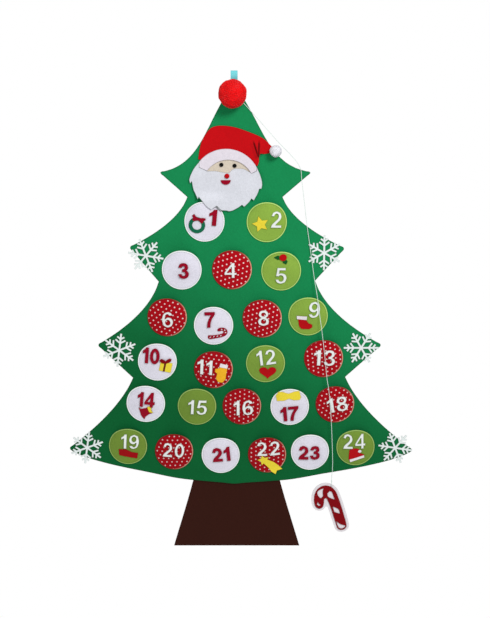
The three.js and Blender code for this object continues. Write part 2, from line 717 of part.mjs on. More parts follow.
// Felt cut in the marker's own frame, with the eyelet at its origin
function markerFelt(outline, holes, depth) {
  const fromEyelet = [-eyelet[0], -eyelet[1]];
  const shape = shapeOf(moved(outline, fromEyelet));
  for (const hole of holes) shape.holes.push(shapeOf(moved(hole, fromEyelet)));
  const geometry = new THREE.ExtrudeGeometry(shape, { depth: figureFelt, bevelEnabled: false });
  geometry.rotateX(Math.PI / 2);
  geometry.translate(0, -depth, 0);
  return geometry;
}

function caneBacking() {
  const hole = circlePoints(eyelet, eyeletRadius, 10);
  return markerFelt(caneBackingEdge(), [hole], -figureFelt / 2);
}

function caneFront() {
  const windows = caneWindows.map((window) => window.map(ofCane));
  return markerFelt(caneEdge.map(ofCane), windows, figureFelt / 2 + clearance);
}

// Volume and centre of mass of a closed geometry
function massOf(geometry) {
  const corners = geometry.index ? geometry.toNonIndexed() : geometry;
  const position = corners.attributes.position;
  const [a, b, c] = [new THREE.Vector3(), new THREE.Vector3(), new THREE.Vector3()];
  const centre = new THREE.Vector3();
  let volume = 0;
  for (let i = 0; i < position.count; i += 3) {
    a.fromBufferAttribute(position, i);
    b.fromBufferAttribute(position, i + 1);
    c.fromBufferAttribute(position, i + 2);
    const part = a.dot(new THREE.Vector3().crossVectors(b, c)) / 6;
    volume += part;
    centre.addScaledVector(a, part / 4).addScaledVector(b, part / 4).addScaledVector(c, part / 4);
  }
  return { volume, centre: centre.divideScalar(volume) };
}

// The turn that brings the centre of mass straight below the eyelet
function restingTurn(geometries) {
  const masses = geometries.map(massOf);
  const total = masses.reduce((sum, { volume }) => sum + volume, 0);
  const x = masses.reduce((sum, { volume, centre }) => sum + volume * centre.x, 0) / total;
  const z = masses.reduce((sum, { volume, centre }) => sum + volume * centre.z, 0) / total;
  return Math.atan2(x, -z);
}

// The ring of thread through the eyelet, and the knot on top of it
const knotHeight = 2 * threadRingRadius + knotRadius - knotSink;

function threadRing() {
  const ring = new THREE.TorusGeometry(threadRingRadius, threadDiameter / 2, 6, 16);
  ring.rotateY(Math.PI / 2);
  ring.translate(0, 0, threadRingRadius);
  const knot = new THREE.SphereGeometry(knotRadius, 10, 7);
  knot.rotateX(Math.PI / 2);
  knot.translate(0, 0, knotHeight);
  return union([ring, knot]);
}

// String

function stringPoints() {
  const bottom = markerPivot[1] + knotHeight + knotRadius + clearance;
  const end = [markerPivot[0], markerDepth, bottom];
  const above = [markerPivot[0], markerDepth, bottom + stringEnd];
  return [...stringPath, above, end].map(([x, depth, z]) => new THREE.Vector3(x, frontFace - depth, z));
}

// A round section swept along a smooth curve through the points
function markerString() {
  const points = stringPoints();
  const curve = new THREE.CatmullRomCurve3(points, false, 'centripetal');
  const steps = Math.round(curve.getLength() / stringStep);
  const section = new THREE.Shape(
    circlePoints([0, 0], stringDiameter / 2, stringSides).map(([x, y]) => new THREE.Vector2(x, y)),
  );
  return new THREE.ExtrudeGeometry(section, { steps, extrudePath: curve, bevelEnabled: false });
}

// Assembly

place(calendar, 'tree_panel', treePanel(), 'tree');
place(calendar, 'trunk', trunk(), 'trunk');
place(calendar, 'hanging_loop', hangingLoop(), 'ribbon');
const topBall = pompom(topPompomCentre, topPompomRadius, topPompomDepth, clearance, 20);
place(calendar, 'top_pompom', topBall, 'pompom');

pocketCentres.forEach((centre, i) => {
  const number = i + 1;
  const colour = whitePockets.includes(number) ? 'white' : greenPockets.includes(number) ? 'green' : 'red';
  place(calendar, `pocket_${String(number).padStart(2, '0')}`, pocket(centre), colour);
});
for (const { name, pocket: number, outlines, colour } of figures) {
  place(calendar, name, figure(number, outlines), colour);
}
for (const flake of snowflakes) {
  place(calendar, flake.name, snowflake(flake), 'white');
}

const onHead = 2 * clearance + headFelt;
const onBeard = 3 * clearance + 2 * headFelt;
place(calendar, 'santa_hat', hat(), 'hat');
place(calendar, 'santa_face', face(), 'face');
place(calendar, 'santa_beard', beard(), 'white');
place(calendar, 'santa_hat_brim', sheet(shapeOf(brim()), onHead, headFelt), 'white');
const onHat = onHead + hatPompomDepth;
place(calendar, 'hat_pompom', pompom(hatPompomCentre, hatPompomRadius, onHat, onHead, 14), 'white');
for (const [name, centre] of Object.entries(eyeCentres)) {
  place(calendar, name, button(centre, eyeRadius, eyeHeight, onHead), 'black');
}
place(calendar, 'santa_nose', button(noseCentre, noseRadius, noseHeight, onBeard), 'red');
place(calendar, 'santa_mouth', mouth(), 'red');

const marker = new THREE.Group();
marker.position.set(markerPivot[0], frontFace - markerDepth, markerPivot[1]);
const backing = caneBacking();
const front = caneFront();
const swinging = new THREE.Group();
swinging.rotation.y = restingTurn([backing, front]);
place(swinging, 'candy_cane_backing', backing, 'white');
place(swinging, 'candy_cane_front', front, 'red');
marker.add(swinging);
place(marker, 'marker_thread', threadRing(), 'string');
calendar.add(marker);
place(calendar, 'marker_string', markerString(), 'string');

export default calendar;
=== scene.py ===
# %% [markdown]
# # A Christmas tree calendar made of felt
#
# The real thing hangs on a wall. A green felt tree carries twenty-four round felt pockets,
# one for each day of advent, and nearly everything on it is cut from sheets of felt: the
# numbers, the small figures, the snowflakes and the bearded head. Two yarn pompoms, a
# ribbon loop and a string with a candy cane marker are the only parts that aren't.
#
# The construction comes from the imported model, which holds every piece at its real size
# and place. This lesson gives the pieces their looks, so each one here lies where its
# solid lies. Blender works in metres, so a length written in millimetres is multiplied by
# `MM`. +Z is up, and the front of the calendar faces -Y.

import math

import bmesh
import bpy
import numpy as np
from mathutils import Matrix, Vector
from mathutils import noise as wobble
from mathutils.geometry import delaunay_2d_cdt


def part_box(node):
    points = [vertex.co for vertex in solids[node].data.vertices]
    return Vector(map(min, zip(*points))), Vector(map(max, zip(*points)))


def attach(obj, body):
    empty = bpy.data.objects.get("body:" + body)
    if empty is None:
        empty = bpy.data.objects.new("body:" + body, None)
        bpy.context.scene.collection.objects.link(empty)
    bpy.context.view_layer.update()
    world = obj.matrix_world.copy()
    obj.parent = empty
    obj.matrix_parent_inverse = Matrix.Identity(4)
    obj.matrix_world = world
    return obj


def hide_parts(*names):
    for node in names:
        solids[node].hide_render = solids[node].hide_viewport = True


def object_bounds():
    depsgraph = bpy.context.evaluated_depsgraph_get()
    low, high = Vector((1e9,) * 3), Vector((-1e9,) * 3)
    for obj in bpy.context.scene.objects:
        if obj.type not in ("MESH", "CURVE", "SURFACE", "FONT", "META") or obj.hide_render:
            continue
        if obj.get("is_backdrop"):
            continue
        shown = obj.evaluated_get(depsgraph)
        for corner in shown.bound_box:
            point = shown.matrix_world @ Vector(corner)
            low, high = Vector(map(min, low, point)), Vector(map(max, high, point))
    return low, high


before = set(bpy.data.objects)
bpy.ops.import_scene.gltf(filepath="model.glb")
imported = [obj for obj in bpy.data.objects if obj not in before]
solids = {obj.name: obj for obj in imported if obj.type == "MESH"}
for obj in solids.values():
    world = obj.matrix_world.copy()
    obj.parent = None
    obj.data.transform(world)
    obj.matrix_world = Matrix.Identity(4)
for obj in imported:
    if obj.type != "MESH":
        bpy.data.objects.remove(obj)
cad_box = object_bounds()
MM = 0.001


def new_object(name, data):
    """Makes an object and puts it in the scene."""
    made = bpy.data.objects.new(name, data)
    bpy.context.scene.collection.objects.link(made)
    return made


# %% [markdown]
# ## The camera
#
# The photograph looks slightly down on the calendar. Its twenty-four pockets are equal
# circles, so their outlines in the picture give the tilt and the distance of the camera.
# The lens is stated for the long side of a 490 x 618 picture.

# %% Place the camera
CAMERA_TILT = math.radians(15.75)
CAMERA_PLACE = (0.0203, -2.2691, 0.1797)
camera_data = bpy.data.cameras.new("camera")
camera_data.sensor_width = 36
camera_data.lens = 69.9
camera = new_object("camera", camera_data)
camera.location = CAMERA_PLACE
camera.rotation_euler = (math.pi / 2 - CAMERA_TILT, 0, 0)
bpy.context.scene.camera = camera
print("camera at", CAMERA_PLACE, "tilted down", round(math.degrees(CAMERA_TILT), 2), "degrees")

# %% [markdown]
# ## Writing node trees as sums
#
# A finish and a Geometry Nodes tree are both made of nodes, and a formula in nodes is hard
# to read. `Number` wraps a socket so that plus, minus, times and divide make the Math
# nodes. The same few helpers then serve every material and every geometry tree below.


# %% Helpers for nodes
def put(tree, slot, value):
    """Gives a node's input a number, a colour or a link."""
    if isinstance(value, Number):
        value = value.socket
    if isinstance(value, bpy.types.NodeSocket):
        tree.links.new(value, slot)
    else:
        slot.default_value = value


def add(tree, kind, inputs=None, **settings):
    """Adds a node with these settings and inputs."""
    node = tree.nodes.new(kind)
    for name, value in settings.items():
        setattr(node, name, value)
    for name, value in (inputs or {}).items():
        put(tree, node.inputs[name], value)
    return node


class Number:
    """A number in a node tree that can be worked with as on paper."""

    def __init__(self, tree, socket):
        self.tree = tree
        self.socket = socket

    def do(self, operation, *others):
        node = self.tree.nodes.new("ShaderNodeMath")
        node.operation = operation
        for slot, value in zip(node.inputs, (self, *others)):
            put(self.tree, slot, value)
        return Number(self.tree, node.outputs[0])

    def __add__(self, other):
        return self.do("ADD", other)

    def __sub__(self, other):
        return self.do("SUBTRACT", other)

    def __rsub__(self, other):
        return self.do("MULTIPLY", -1.0).do("ADD", other)

    def __mul__(self, other):
        return self.do("MULTIPLY", other)

    def __truediv__(self, other):
        return self.do("DIVIDE", other)

    def __pow__(self, other):
        return self.do("POWER", other)

    __radd__ = __add__
    __rmul__ = __mul__


def between(number, low, high):
    return number.do("MAXIMUM", low).do("MINIMUM", high)


def smooth(number):
    """Rises from 0 to 1 with flat ends, for a number from 0 to 1."""
    return number * number * (3 - 2 * number)


def split(tree, vector):
    """The three numbers of a vector."""
    node = add(tree, "ShaderNodeSeparateXYZ", {"Vector": vector})
    return [Number(tree, socket) for socket in node.outputs]


def joined(tree, x, y, z):
    return add(tree, "ShaderNodeCombineXYZ", {"X": x, "Y": y, "Z": z}).outputs[0]


def vector(tree, operation, inputs):
    return add(tree, "ShaderNodeVectorMath", inputs, operation=operation).outputs[0]


def attribute(tree, name):
    return Number(tree, add(tree, "ShaderNodeAttribute", attribute_name=name).outputs["Fac"])


print("node helpers ready")

# %% [markdown]
# ## Running a Geometry Nodes tree
#
# Geometry Nodes make what repeats or follows a rule: the pockets, their stitches, the
# yarn and the twisted string. Each tree takes its sizes through named inputs. Here it is
# run once on a mesh, and its result is kept as a plain mesh.


# %% Helpers for geometry trees
SOCKET_KINDS = {float: "NodeSocketFloat", int: "NodeSocketInt"}


def geometry_tree(name, **sizes):
    """Starts a tree and returns it, the geometry that comes in, and its inputs by name."""
    tree = bpy.data.node_groups.new(name, "GeometryNodeTree")
    sockets = tree.interface
    for label, way, kind in (
        ("Geometry", "OUTPUT", "Geometry"),
        ("Geometry", "INPUT", "Geometry"),
        ("Finish", "INPUT", "Material"),
    ):
        sockets.new_socket(label, in_out=way, socket_type=f"NodeSocket{kind}")
    for label, value in sizes.items():
        kind = SOCKET_KINDS[type(value)]
        sockets.new_socket(label, in_out="INPUT", socket_type=kind).default_value = value
    given = tree.nodes.new("NodeGroupInput")
    inputs = {label: Number(tree, given.outputs[label]) for label in sizes}
    inputs["Finish"] = given.outputs["Finish"]
    return tree, given.outputs["Geometry"], inputs


def geometry(tree, kind, inputs=None, **settings):
    """Adds a geometry node and returns its first output."""
    return add(tree, "GeometryNode" + kind, inputs, **settings).outputs[0]


def softened(tree, mesh):
    return geometry(tree, "SetShadeSmooth", {"Geometry": mesh})


def placed(tree, mesh, place, by="Position"):
    """Moves the points of a mesh to a place, or by an offset."""
    return geometry(tree, "SetPosition", {"Geometry": mesh, by: place})


def tube(tree, curve, sides, radius):
    """Makes a thread of a curve."""
    section = geometry(tree, "CurvePrimitiveCircle", {"Resolution": sides, "Radius": radius})
    inputs = {"Curve": curve, "Profile Curve": section, "Fill Caps": True}
    return softened(tree, geometry(tree, "CurveToMesh", inputs))


def joined_meshes(tree, meshes):
    node = tree.nodes.new("GeometryNodeJoinGeometry")
    for mesh in meshes:
        tree.links.new(mesh, node.inputs[0])
    return node.outputs[0]


def end_tree(tree, mesh, finish):
    """Makes instances real, gives the finish, and closes the tree."""
    real = geometry(tree, "RealizeInstances", {"Geometry": mesh})
    done = geometry(tree, "SetMaterial", {"Geometry": real, "Material": finish})
    add(tree, "NodeGroupOutput", {"Geometry": done})
    return tree


def grown(tree, finish, mesh=None, **sizes):
    """Runs a tree on a mesh, or on nothing, and returns the result as a plain mesh."""
    start = new_object(tree.name, mesh or bpy.data.meshes.new(tree.name))
    modifier = start.modifiers.new("tree", "NODES")
    modifier.node_group = tree
    values = {"Finish": finish, **sizes}
    for socket in tree.interface.items_tree:
        if socket.in_out == "INPUT" and socket.name in values:
            modifier[socket.identifier] = values[socket.name]
    seen = start.evaluated_get(bpy.context.evaluated_depsgraph_get())
    result = bpy.data.meshes.new_from_object(seen)
    bpy.data.objects.remove(start)
    return result


print("geometry helpers ready")

# %% [markdown]
# ## Felt
#
# Felt isn't woven. Its fibres are matted in every direction, so it shows no threads: it
# has a soft mottle a few centimetres wide, small tufts, a fine tangle of fibres, and a
# faint bloom where light grazes the loose ends. The tangle is noise stretched long and
# thin in two directions. The bloom is the shader's sheen. Along the cut edge the colour
# is darker, as painted shade for the shadow there. The mesh says where, as `rim`.


# %% The felt finish
def linear(red, green, blue):
    """A colour as a screen shows it, 0 to 255, in the linear values that nodes want."""
    shares = [value / 255 for value in (red, green, blue)]
    return (*[c / 12.92 if c <= 0.04045 else ((c + 0.055) / 1.055) ** 2.4 for c in shares], 1.0)


def noise(tree, place, scale, detail=3.0, stretch=1.0, turn=0.0, wander=0.0):
    """Noise read at a place, if wanted drawn out along one direction of the sheet."""
    if stretch != 1.0:
        inputs = {"Vector": place, "Rotation": (0, turn, 0), "Scale": (1, 1, 1 / stretch)}
        place = add(tree, "ShaderNodeMapping", inputs).outputs[0]
    inputs = {"Vector": place, "Scale": scale, "Detail": detail, "Distortion": wander}
    return Number(tree, add(tree, "ShaderNodeTexNoise", inputs).outputs[0])


def new_finish(name):
    """A new material, with its tree, its shader and the object's own coordinates."""
    material = bpy.data.materials.new(name)
    material.use_nodes = True
    tree = material.node_tree
    place = add(tree, "ShaderNodeTexCoord").outputs["Object"]
    return material, tree, tree.nodes["Principled BSDF"], place


def shaded(tree, colour, value):
    """A colour made lighter or darker by a number round 1."""
    return add(tree, "ShaderNodeHueSaturation", {"Value": value, "Color": colour}).outputs[0]


def mixed(tree, share, first, second):
    node = add(tree, "ShaderNodeMix", data_type="RGBA")
    for slot, value in zip((0, 6, 7), (share, first, second)):
        put(tree, node.inputs[slot], value)
    return node.outputs[2]


def cover(tree, shader, colour, height, depth, settings):
    """Gives a shader its colour, its bump and its plain settings."""
    bump = add(tree, "ShaderNodeBump", {"Strength": 0.5, "Distance": depth, "Height": height})
    put(tree, shader.inputs["Base Color"], colour)
    put(tree, shader.inputs["Normal"], bump.outputs[0])
    for name, value in settings.items():
        shader.inputs[name].default_value = value


PAINTED_EDGE_SHADE = 0.35
FELT_SURFACE = {
    "Roughness": 0.95, "Specular IOR Level": 0.12, "Sheen Weight": 0.1, "Sheen Roughness": 0.45,
}
MOTTLE_SCALE, TUFT_SCALE, FIBRE_SCALE = 22, 260, 1500
MOTTLE_DEPTH, TUFT_DEPTH, FIBRE_DEPTH = 0.16, 0.2, 0.4
FIBRE_STRETCH = 7
FIBRE_TURNS = 0.6, 2.2


def make_matted(tree, shader, place, colour, depth=0.4 * MM):
    """Gives a colour or a pattern the mottle, fibres, bump and bloom of felt."""
    mottle = noise(tree, place, MOTTLE_SCALE)
    tuft = noise(tree, place, TUFT_SCALE)
    fibres, crossing = [
        noise(tree, place, FIBRE_SCALE, 4, FIBRE_STRETCH, turn, wander=1.5) for turn in FIBRE_TURNS
    ]
    tangle = fibres.do("MAXIMUM", crossing)
    value = 1 + MOTTLE_DEPTH * (mottle - 0.5) + TUFT_DEPTH * (tuft - 0.5) + FIBRE_DEPTH * (tangle - 0.58)
    # painted shade: the colour is darker along the cut edge, as much as the mesh's `rim` says
    value = value * (1 - PAINTED_EDGE_SHADE * attribute(tree, "rim"))
    cover(tree, shader, shaded(tree, colour, value), tuft * 0.8 + tangle, depth, FELT_SURFACE)


def felt(name, *colour):
    material, tree, shader, place = new_finish(name)
    make_matted(tree, shader, place, linear(*colour))
    return material


print("felt finish ready")

# %% [markdown]
# The tree is one large sheet, and painted light and shade lie on its green: painted shade
# makes it deep at the foot, and it is lighter towards the top, a little sooner on the
# right-hand side. So its colour is a mix of two greens, chosen by the place on the sheet.

# %% The felts of this calendar
# the green under painted shade at the foot and under painted light near the top; where the painted shade
# ends, how fast the painted light rises, and how much sooner on the right
GREEN_IN_PAINTED_SHADE = (4, 94, 46)
GREEN_IN_PAINTED_LIGHT = (20, 137, 80)
PAINTED_SHADE_BELOW = 0.74
PAINTED_LIGHT_RISE = 0.48
PAINTED_LIGHT_RIGHTWARD = 0.5


def freshness(tree, place):
    """Painted light: 0 where the painted shade is deepest, at the foot of the tree, and 1 where the painted
    light is fullest.
    """
    to_right, _, height_up = split(tree, place)
    gone = (height_up + PAINTED_LIGHT_RIGHTWARD * to_right + PAINTED_SHADE_BELOW) / PAINTED_LIGHT_RISE
    return smooth(between(gone, 0.0, 1.0))


tree_felt, tree, shader, place = new_finish("tree felt")
painted_light = freshness(tree, place)
# painted light and shade on the tree's green, from the foot to the top
make_matted(tree, shader, place, mixed(tree, painted_light, linear(*GREEN_IN_PAINTED_SHADE), linear(*GREEN_IN_PAINTED_LIGHT)))
felts = {
    "tree": tree_felt,
    "trunk": felt("trunk felt", 51, 19, 10),
    "white": felt("white felt", 217, 219, 227),
    "brim": felt("brim felt", 226, 219, 228),
    "snow": felt("snowflake felt", 234, 243, 241),
    "face": felt("face felt", 216, 204, 186),
    "number_red": felt("number red felt", 152, 2, 34),
    "number_white": felt("number white felt", 240, 245, 243),
    "red": felt("red felt", 186, 4, 16),
    "yellow": felt("yellow felt", 242, 220, 62),
    "orange": felt("orange felt", 248, 184, 40),
    "leaf": felt("wreath felt", 16, 106, 74),
    "holly": felt("holly felt", 8, 86, 32),
    "brown": felt("ribbon brown felt", 110, 40, 22),
    "cane_red": felt("cane red felt", 132, 2, 12),
    "dark_red": felt("dark red felt", 160, 3, 12),
    "cane_white": felt("cane white felt", 238, 233, 237),
    "black": felt("black felt", 6, 5, 5),
}
print("felts:", len(felts))

# %% [markdown]
# ## Thread and yarn
#
# Thread and yarn are made here as real strands, so their finish needs only the fine lint
# along them. A pompom's yarn was dyed in one bath but catches light end by end, so every
# strand carries its own number, `shade`, which the finish reads.


# %% The thread and yarn finishes
THREAD_SURFACE = {
    "Roughness": 0.8, "Specular IOR Level": 0.2, "Sheen Weight": 0.2, "Sheen Roughness": 0.4,
}
LINT_SCALE, LINT_DEPTH = 2400, 0.3


def thread(name, *colour, variety=0.0):
    material, tree, shader, place = new_finish(name)
    lint = noise(tree, place, LINT_SCALE, 2)
    value = 1 + LINT_DEPTH * (lint - 0.5)
    if variety:
        value = value + variety * (attribute(tree, "shade") - 0.5)
    cover(tree, shader, shaded(tree, linear(*colour), value), lint, 0.1 * MM, THREAD_SURFACE)
    return material


threads = {
    "string": thread("white string", 226, 240, 234),
    "white": thread("white stitching", 196, 198, 206),
    "green": thread("green stitching", 106, 142, 52),
    "red": thread("red stitching", 138, 8, 22),
    "red_yarn": thread("red yarn", 246, 6, 14, variety=0.12),
    "white_yarn": thread("white yarn", 238, 238, 243, variety=0.05),
}
print("threads:", len(threads))

# %% [markdown]
# ## The string
#
# A long white string is tied on behind the top pompom and hangs down over a snowflake and
# four pockets. It is the one free cord of the object. A plain tube would look like wire,
# so three strands are wound round each other along its route, as a rope maker does.
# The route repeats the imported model's points: x, the distance off the tree, and z.

# %% The route of the string
TREE_FRONT = -4.45 * MM
STRING_DIAMETER = 1.2 * MM
PIVOT = (196.5 * MM, TREE_FRONT - 9 * MM, -830.5 * MM)
KNOT_TOP = 12 * MM
ROUTE = [
    (17, 0.95, -58), (31, 1.1, -73), (78, 1.4, -126), (124, 1.3, -178), (128.5, 1.3, -206),
    (139.8, 1.9, -294), (144.5, 2.9, -325), (148.2, 3.6, -350), (155.5, 8.3, -399),
    (162, 12.2, -437), (166.5, 12.7, -470), (171, 13.1, -500), (174, 13.3, -523),
    (178.5, 13.1, -560), (183, 12.9, -600), (186.5, 12.8, -620), (190, 12.3, -652),
    (193.2, 10.9, -690), (196.5, 9.5, -746), (198, 9.1, -790), (196.5, 9, -810.3),
]


def bend(a, b, leave, arrive, count):
    """Points from a to just before b, on a curve that leaves and arrives in these directions."""
    t = (np.arange(count) / count)[:, None]
    ends = (1 - 3 * t**2 + 2 * t**3) * a + (3 * t**2 - 2 * t**3) * b
    return ends + (t**3 - 2 * t**2 + t) * leave + (t**3 - t**2) * arrive


def curve_through(points, steps=10):
    """Points on a smooth curve through these, spaced as a centripetal spline spaces them."""
    points = [np.array(point, float) for point in points]
    points = [2 * points[0] - points[1], *points, 2 * points[-1] - points[-2]]
    curve = []
    for a, b, c, d in zip(points, points[1:], points[2:], points[3:]):
        gaps = [math.sqrt(np.linalg.norm(q - p)) for p, q in ((a, b), (b, c), (c, d))]
        leave = (b - a) / gaps[0] - (c - a) / (gaps[0] + gaps[1]) + (c - b) / gaps[1]
        arrive = (c - b) / gaps[1] - (d - b) / (gaps[1] + gaps[2]) + (d - c) / gaps[2]
        curve += [*bend(b, c, leave * gaps[1], arrive * gaps[1], steps)]
    return np.array([*curve, points[-2]])


route = [(x * MM, TREE_FRONT - off * MM, z * MM) for x, off, z in ROUTE]
route = curve_through([*route, (PIVOT[0], PIVOT[1], PIVOT[2] + KNOT_TOP)])

# %% [markdown]
# Each strand keeps to the side of the route that its turn gives it, and the turn grows
# with the length gone. The thread ring and the knot at the lower end use the same tree.


# %% A tree that winds three strands
def winding_tree():
    """Winds three strands along the edges of a mesh."""
    tree, path, size = geometry_tree("wound strands", Step=0.7 * MM, Pitch=6 * MM, Thickness=1 * MM)
    curve = geometry(tree, "MeshToCurve", {"Mesh": path})
    curve = geometry(tree, "ResampleCurve", {"Curve": curve, "Length": size["Step"]}, mode="LENGTH")
    normal = geometry(tree, "InputNormal")
    side = vector(tree, "CROSS_PRODUCT", {0: normal, 1: geometry(tree, "InputTangent")})
    gone = Number(tree, add(tree, "GeometryNodeSplineParameter").outputs["Length"])
    reach = size["Thickness"] * 0.25
    strands = []
    for strand in range(3):
        turn = (gone / size["Pitch"] + strand / 3) * math.tau
        ways = (normal, turn.do("COSINE")), (side, turn.do("SINE"))
        parts = [vector(tree, "SCALE", {0: way, "Scale": share * reach}) for way, share in ways]
        offset = vector(tree, "ADD", dict(enumerate(parts)))
        strands.append(tube(tree, placed(tree, curve, offset, by="Offset"), 6, reach))
    return end_tree(tree, joined_meshes(tree, strands), size["Finish"])


def line_mesh(points, closed=False):
    """A mesh of nothing but edges, from each point to the next."""
    mesh = bpy.data.meshes.new("line")
    count = len(points)
    edges = [(i, (i + 1) % count) for i in range(count if closed else count - 1)]
    mesh.from_pydata(points, edges, [])
    return mesh


def place_piece(name, mesh, *nodes, body="calendar", slot=None):
    """Makes an object of a mesh, lets it ride on a body, and hides the solids that it stands for."""
    piece = new_object(name, mesh)
    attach(piece, body)
    if nodes:
        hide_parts(*nodes)
    return piece


winding = winding_tree()
string_mesh = grown(winding, threads["string"], line_mesh(route), Thickness=STRING_DIAMETER)
string_piece = place_piece("string", string_mesh, "marker_string", slot="white_thread")
print("string faces:", len(string_mesh.polygons))

# %% [markdown]
# At its lower end the string goes into a small barrel knot, and a ring of sewing thread
# hangs from the knot and passes through the eyelet of the marker. The ring stands across
# the marker, so it shows edge on from the front.

# %% The thread ring and its knot
RING_RADIUS = 4.5 * MM
KNOT_TURNS = 3
RING_TURNS = 6
KNOT_RADIUS = 0.95 * MM
KNOT_FOOT, KNOT_LENGTH = 9.25 * MM, 2.3 * MM
ring_line = [
    (PIVOT[0], PIVOT[1] + RING_RADIUS * math.sin(a), PIVOT[2] + RING_RADIUS * (1 - math.cos(a)))
    for a in np.linspace(0, math.tau, 48, endpoint=False)
]
ring_pitch = math.tau * RING_RADIUS / RING_TURNS
ring_path = line_mesh(ring_line, closed=True)
ring_mesh = grown(winding, threads["string"], ring_path, Thickness=1 * MM, Pitch=ring_pitch, Step=0.4 * MM)
coil = []
for share in np.linspace(0, 1, 40):
    turn = math.tau * KNOT_TURNS * share
    reach = KNOT_RADIUS * (0.75 + 0.25 * math.sin(math.pi * share))
    height = KNOT_FOOT + KNOT_LENGTH * share
    coil.append((PIVOT[0] + reach * math.cos(turn), PIVOT[1] + reach * math.sin(turn), PIVOT[2] + height))
knot_path = line_mesh(coil)
knot_mesh = grown(winding, threads["string"], knot_path, Thickness=1 * MM, Pitch=3 * MM, Step=0.3 * MM)
thread_ring = place_piece("thread_ring", ring_mesh, "marker_thread", body="thread", slot="white_thread")
string_knot = place_piece("string_knot", knot_mesh, body="thread", slot="white_thread")
print("ring and knot faces:", len(ring_mesh.polygons), len(knot_mesh.polygons))

# %% [markdown]
# ## Cutting felt
#
# Most pieces are felt cut to an outline with scissors or a die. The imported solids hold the
# outlines, as short straight steps. A cutter's line is smooth between its corners, so the
# steps are turned into curves, and the corners that are meant as corners stay sharp. The
# scissors also wander a little, by a tenth of a millimetre or two.


# %% Read and smooth an outline
WANDER_SCALE = 160


def outlines_of(node):
    """The outlines of the front of a solid as points (x, z), with the felt on their left."""
    work = bmesh.new()
    work.from_mesh(solids[node].data)
    bmesh.ops.remove_doubles(work, verts=work.verts, dist=0.01 * MM)
    work.normal_update()
    faces_front = {face.index for face in work.faces if face.normal.y < -0.5}
    after = {}
    for face in work.faces:
        if face.index not in faces_front:
            continue
        for corner in face.loops:
            if sum(other.index in faces_front for other in corner.edge.link_faces) == 1:
                after[corner.vert.index] = corner.link_loop_next.vert.index
    work.verts.ensure_lookup_table()
    outlines = []
    while after:
        start = min(after)
        line = [start]
        while after[line[-1]] != start:
            line.append(after.pop(line[-1]))
        after.pop(line[-1])
        outlines.append([(work.verts[i].co.x, work.verts[i].co.z) for i in line])
    work.free()
    return outlines


def cross(a, b):
    """How far each arrow of b turns left of its arrow of a: the area that they span."""
    return a[:, 0] * b[:, 1] - a[:, 1] * b[:, 0]


def left_of(line):
    """For each point of a closed line, how to move it to come one metre further to the left."""
    ahead = np.roll(line, -1, 0) - line
    ahead /= np.linalg.norm(ahead, axis=1)[:, None]
    left = np.stack([-ahead[:, 1], ahead[:, 0]], 1)
    middle = left + np.roll(left, 1, 0)
    return 2 * middle / np.maximum((middle**2).sum(1), 1.4)[:, None]


def cut_line(outline, step=1 * MM, sharp=42, wander=0.12 * MM):
    """A closed outline as a cutter follows it: smooth, but sharp at corners over so many degrees."""
    line = np.array(outline)
    ahead = np.roll(line, -1, 0) - line
    behind = np.roll(ahead, 1, 0)
    turn = np.arctan2(cross(behind, ahead), (behind * ahead).sum(1))
    corner = np.abs(np.degrees(turn)) > sharp
    heading = ahead + behind
    heading /= np.linalg.norm(heading, axis=1)[:, None]
    points = []
    for i in range(len(line)):
        j = (i + 1) % len(line)
        length = np.linalg.norm(ahead[i])
        leave = ahead[i] if corner[i] else heading[i] * length
        arrive = ahead[i] if corner[j] else heading[j] * length
        points += [*bend(line[i], line[j], leave, arrive, max(1, round(length / step)))]
    points = np.array(points)
    waves = [wobble.noise(Vector((x * WANDER_SCALE, 0, z * WANDER_SCALE))) for x, z in points]
    return points + left_of(points) * np.array(waves)[:, None] * wander


FOOT_TOP = -755
MIDDLE_LIFT, MIDDLE_WIDTH = 2.2, 40
SIDE_DROP, SIDE_PLACE, SIDE_WIDTH = 2.8, 115, 45


def sag(line):
    """Rounds the long lower edge of the tree: higher in the middle, fuller to its sides."""
    x, z = line.T / MM
    lift = MIDDLE_LIFT * np.exp(-((x / MIDDLE_WIDTH) ** 2))
    lift -= SIDE_DROP * np.exp(-(((np.abs(x) - SIDE_PLACE) / SIDE_WIDTH) ** 2))
    return line + np.stack([0 * x, (z < FOOT_TOP) * lift], 1) * MM


tree_lines = [sag(cut_line(outline, step=2 * MM)) for outline in outlines_of("tree_panel")]
print("points round the tree:", sum(len(line) for line in tree_lines))

# %% [markdown]
# A cut edge of felt is soft. It isn't a sharp box edge, so the section of the rim has a
# small round at the front and at the back. The two faces are filled by a triangulation
# that keeps to the outline and has points inside as well, because a felt that lies over
# something has to bend there. `RIM` goes round the edge from back to front. Each point
# says how far in it lies, how far through the felt, and how far the round takes it back.

# %% Cut a felt
RIM = [(1.7, 0, 0), (1, 0, 0), (0.3, 0, 0.3), (0, 0, 1), (0, 1, -1), (0.3, 1, -0.3), (1, 1, 0), (1.7, 1, 0)]


def inside(points, lines):
    """For each point, whether it is in the felt: an odd number of lines lies to its right."""
    passed = np.zeros(len(points), int)
    for line in lines:
        for a, b in zip(line, np.roll(line, -1, 0)):
            if a[1] == b[1]:
                continue
            spans = (a[1] <= points[:, 1]) != (b[1] <= points[:, 1])
            across = a[0] + (points[:, 1] - a[1]) * (b[0] - a[0]) / (b[1] - a[1])
            passed += spans & (points[:, 0] < across)
    return passed % 2 == 1


LONGEST_LOOP = 8
TRIES = 12


def crossings(line):
    """Marks the points of a closed line that lie in a small loop where it crosses itself."""
    marked = np.zeros(len(line), bool)
    a, b = line, np.roll(line, -1, 0)
    for steps in range(2, LONGEST_LOOP):
        c, d = np.roll(a, -steps, 0), np.roll(b, -steps, 0)
        parted = cross(b - a, c - a) * cross(b - a, d - a) <= 0
        meets = parted & (cross(d - c, a - c) * cross(d - c, b - c) <= 0)
        for step in range(steps + 2):
            marked |= np.roll(meets, step)
    return marked


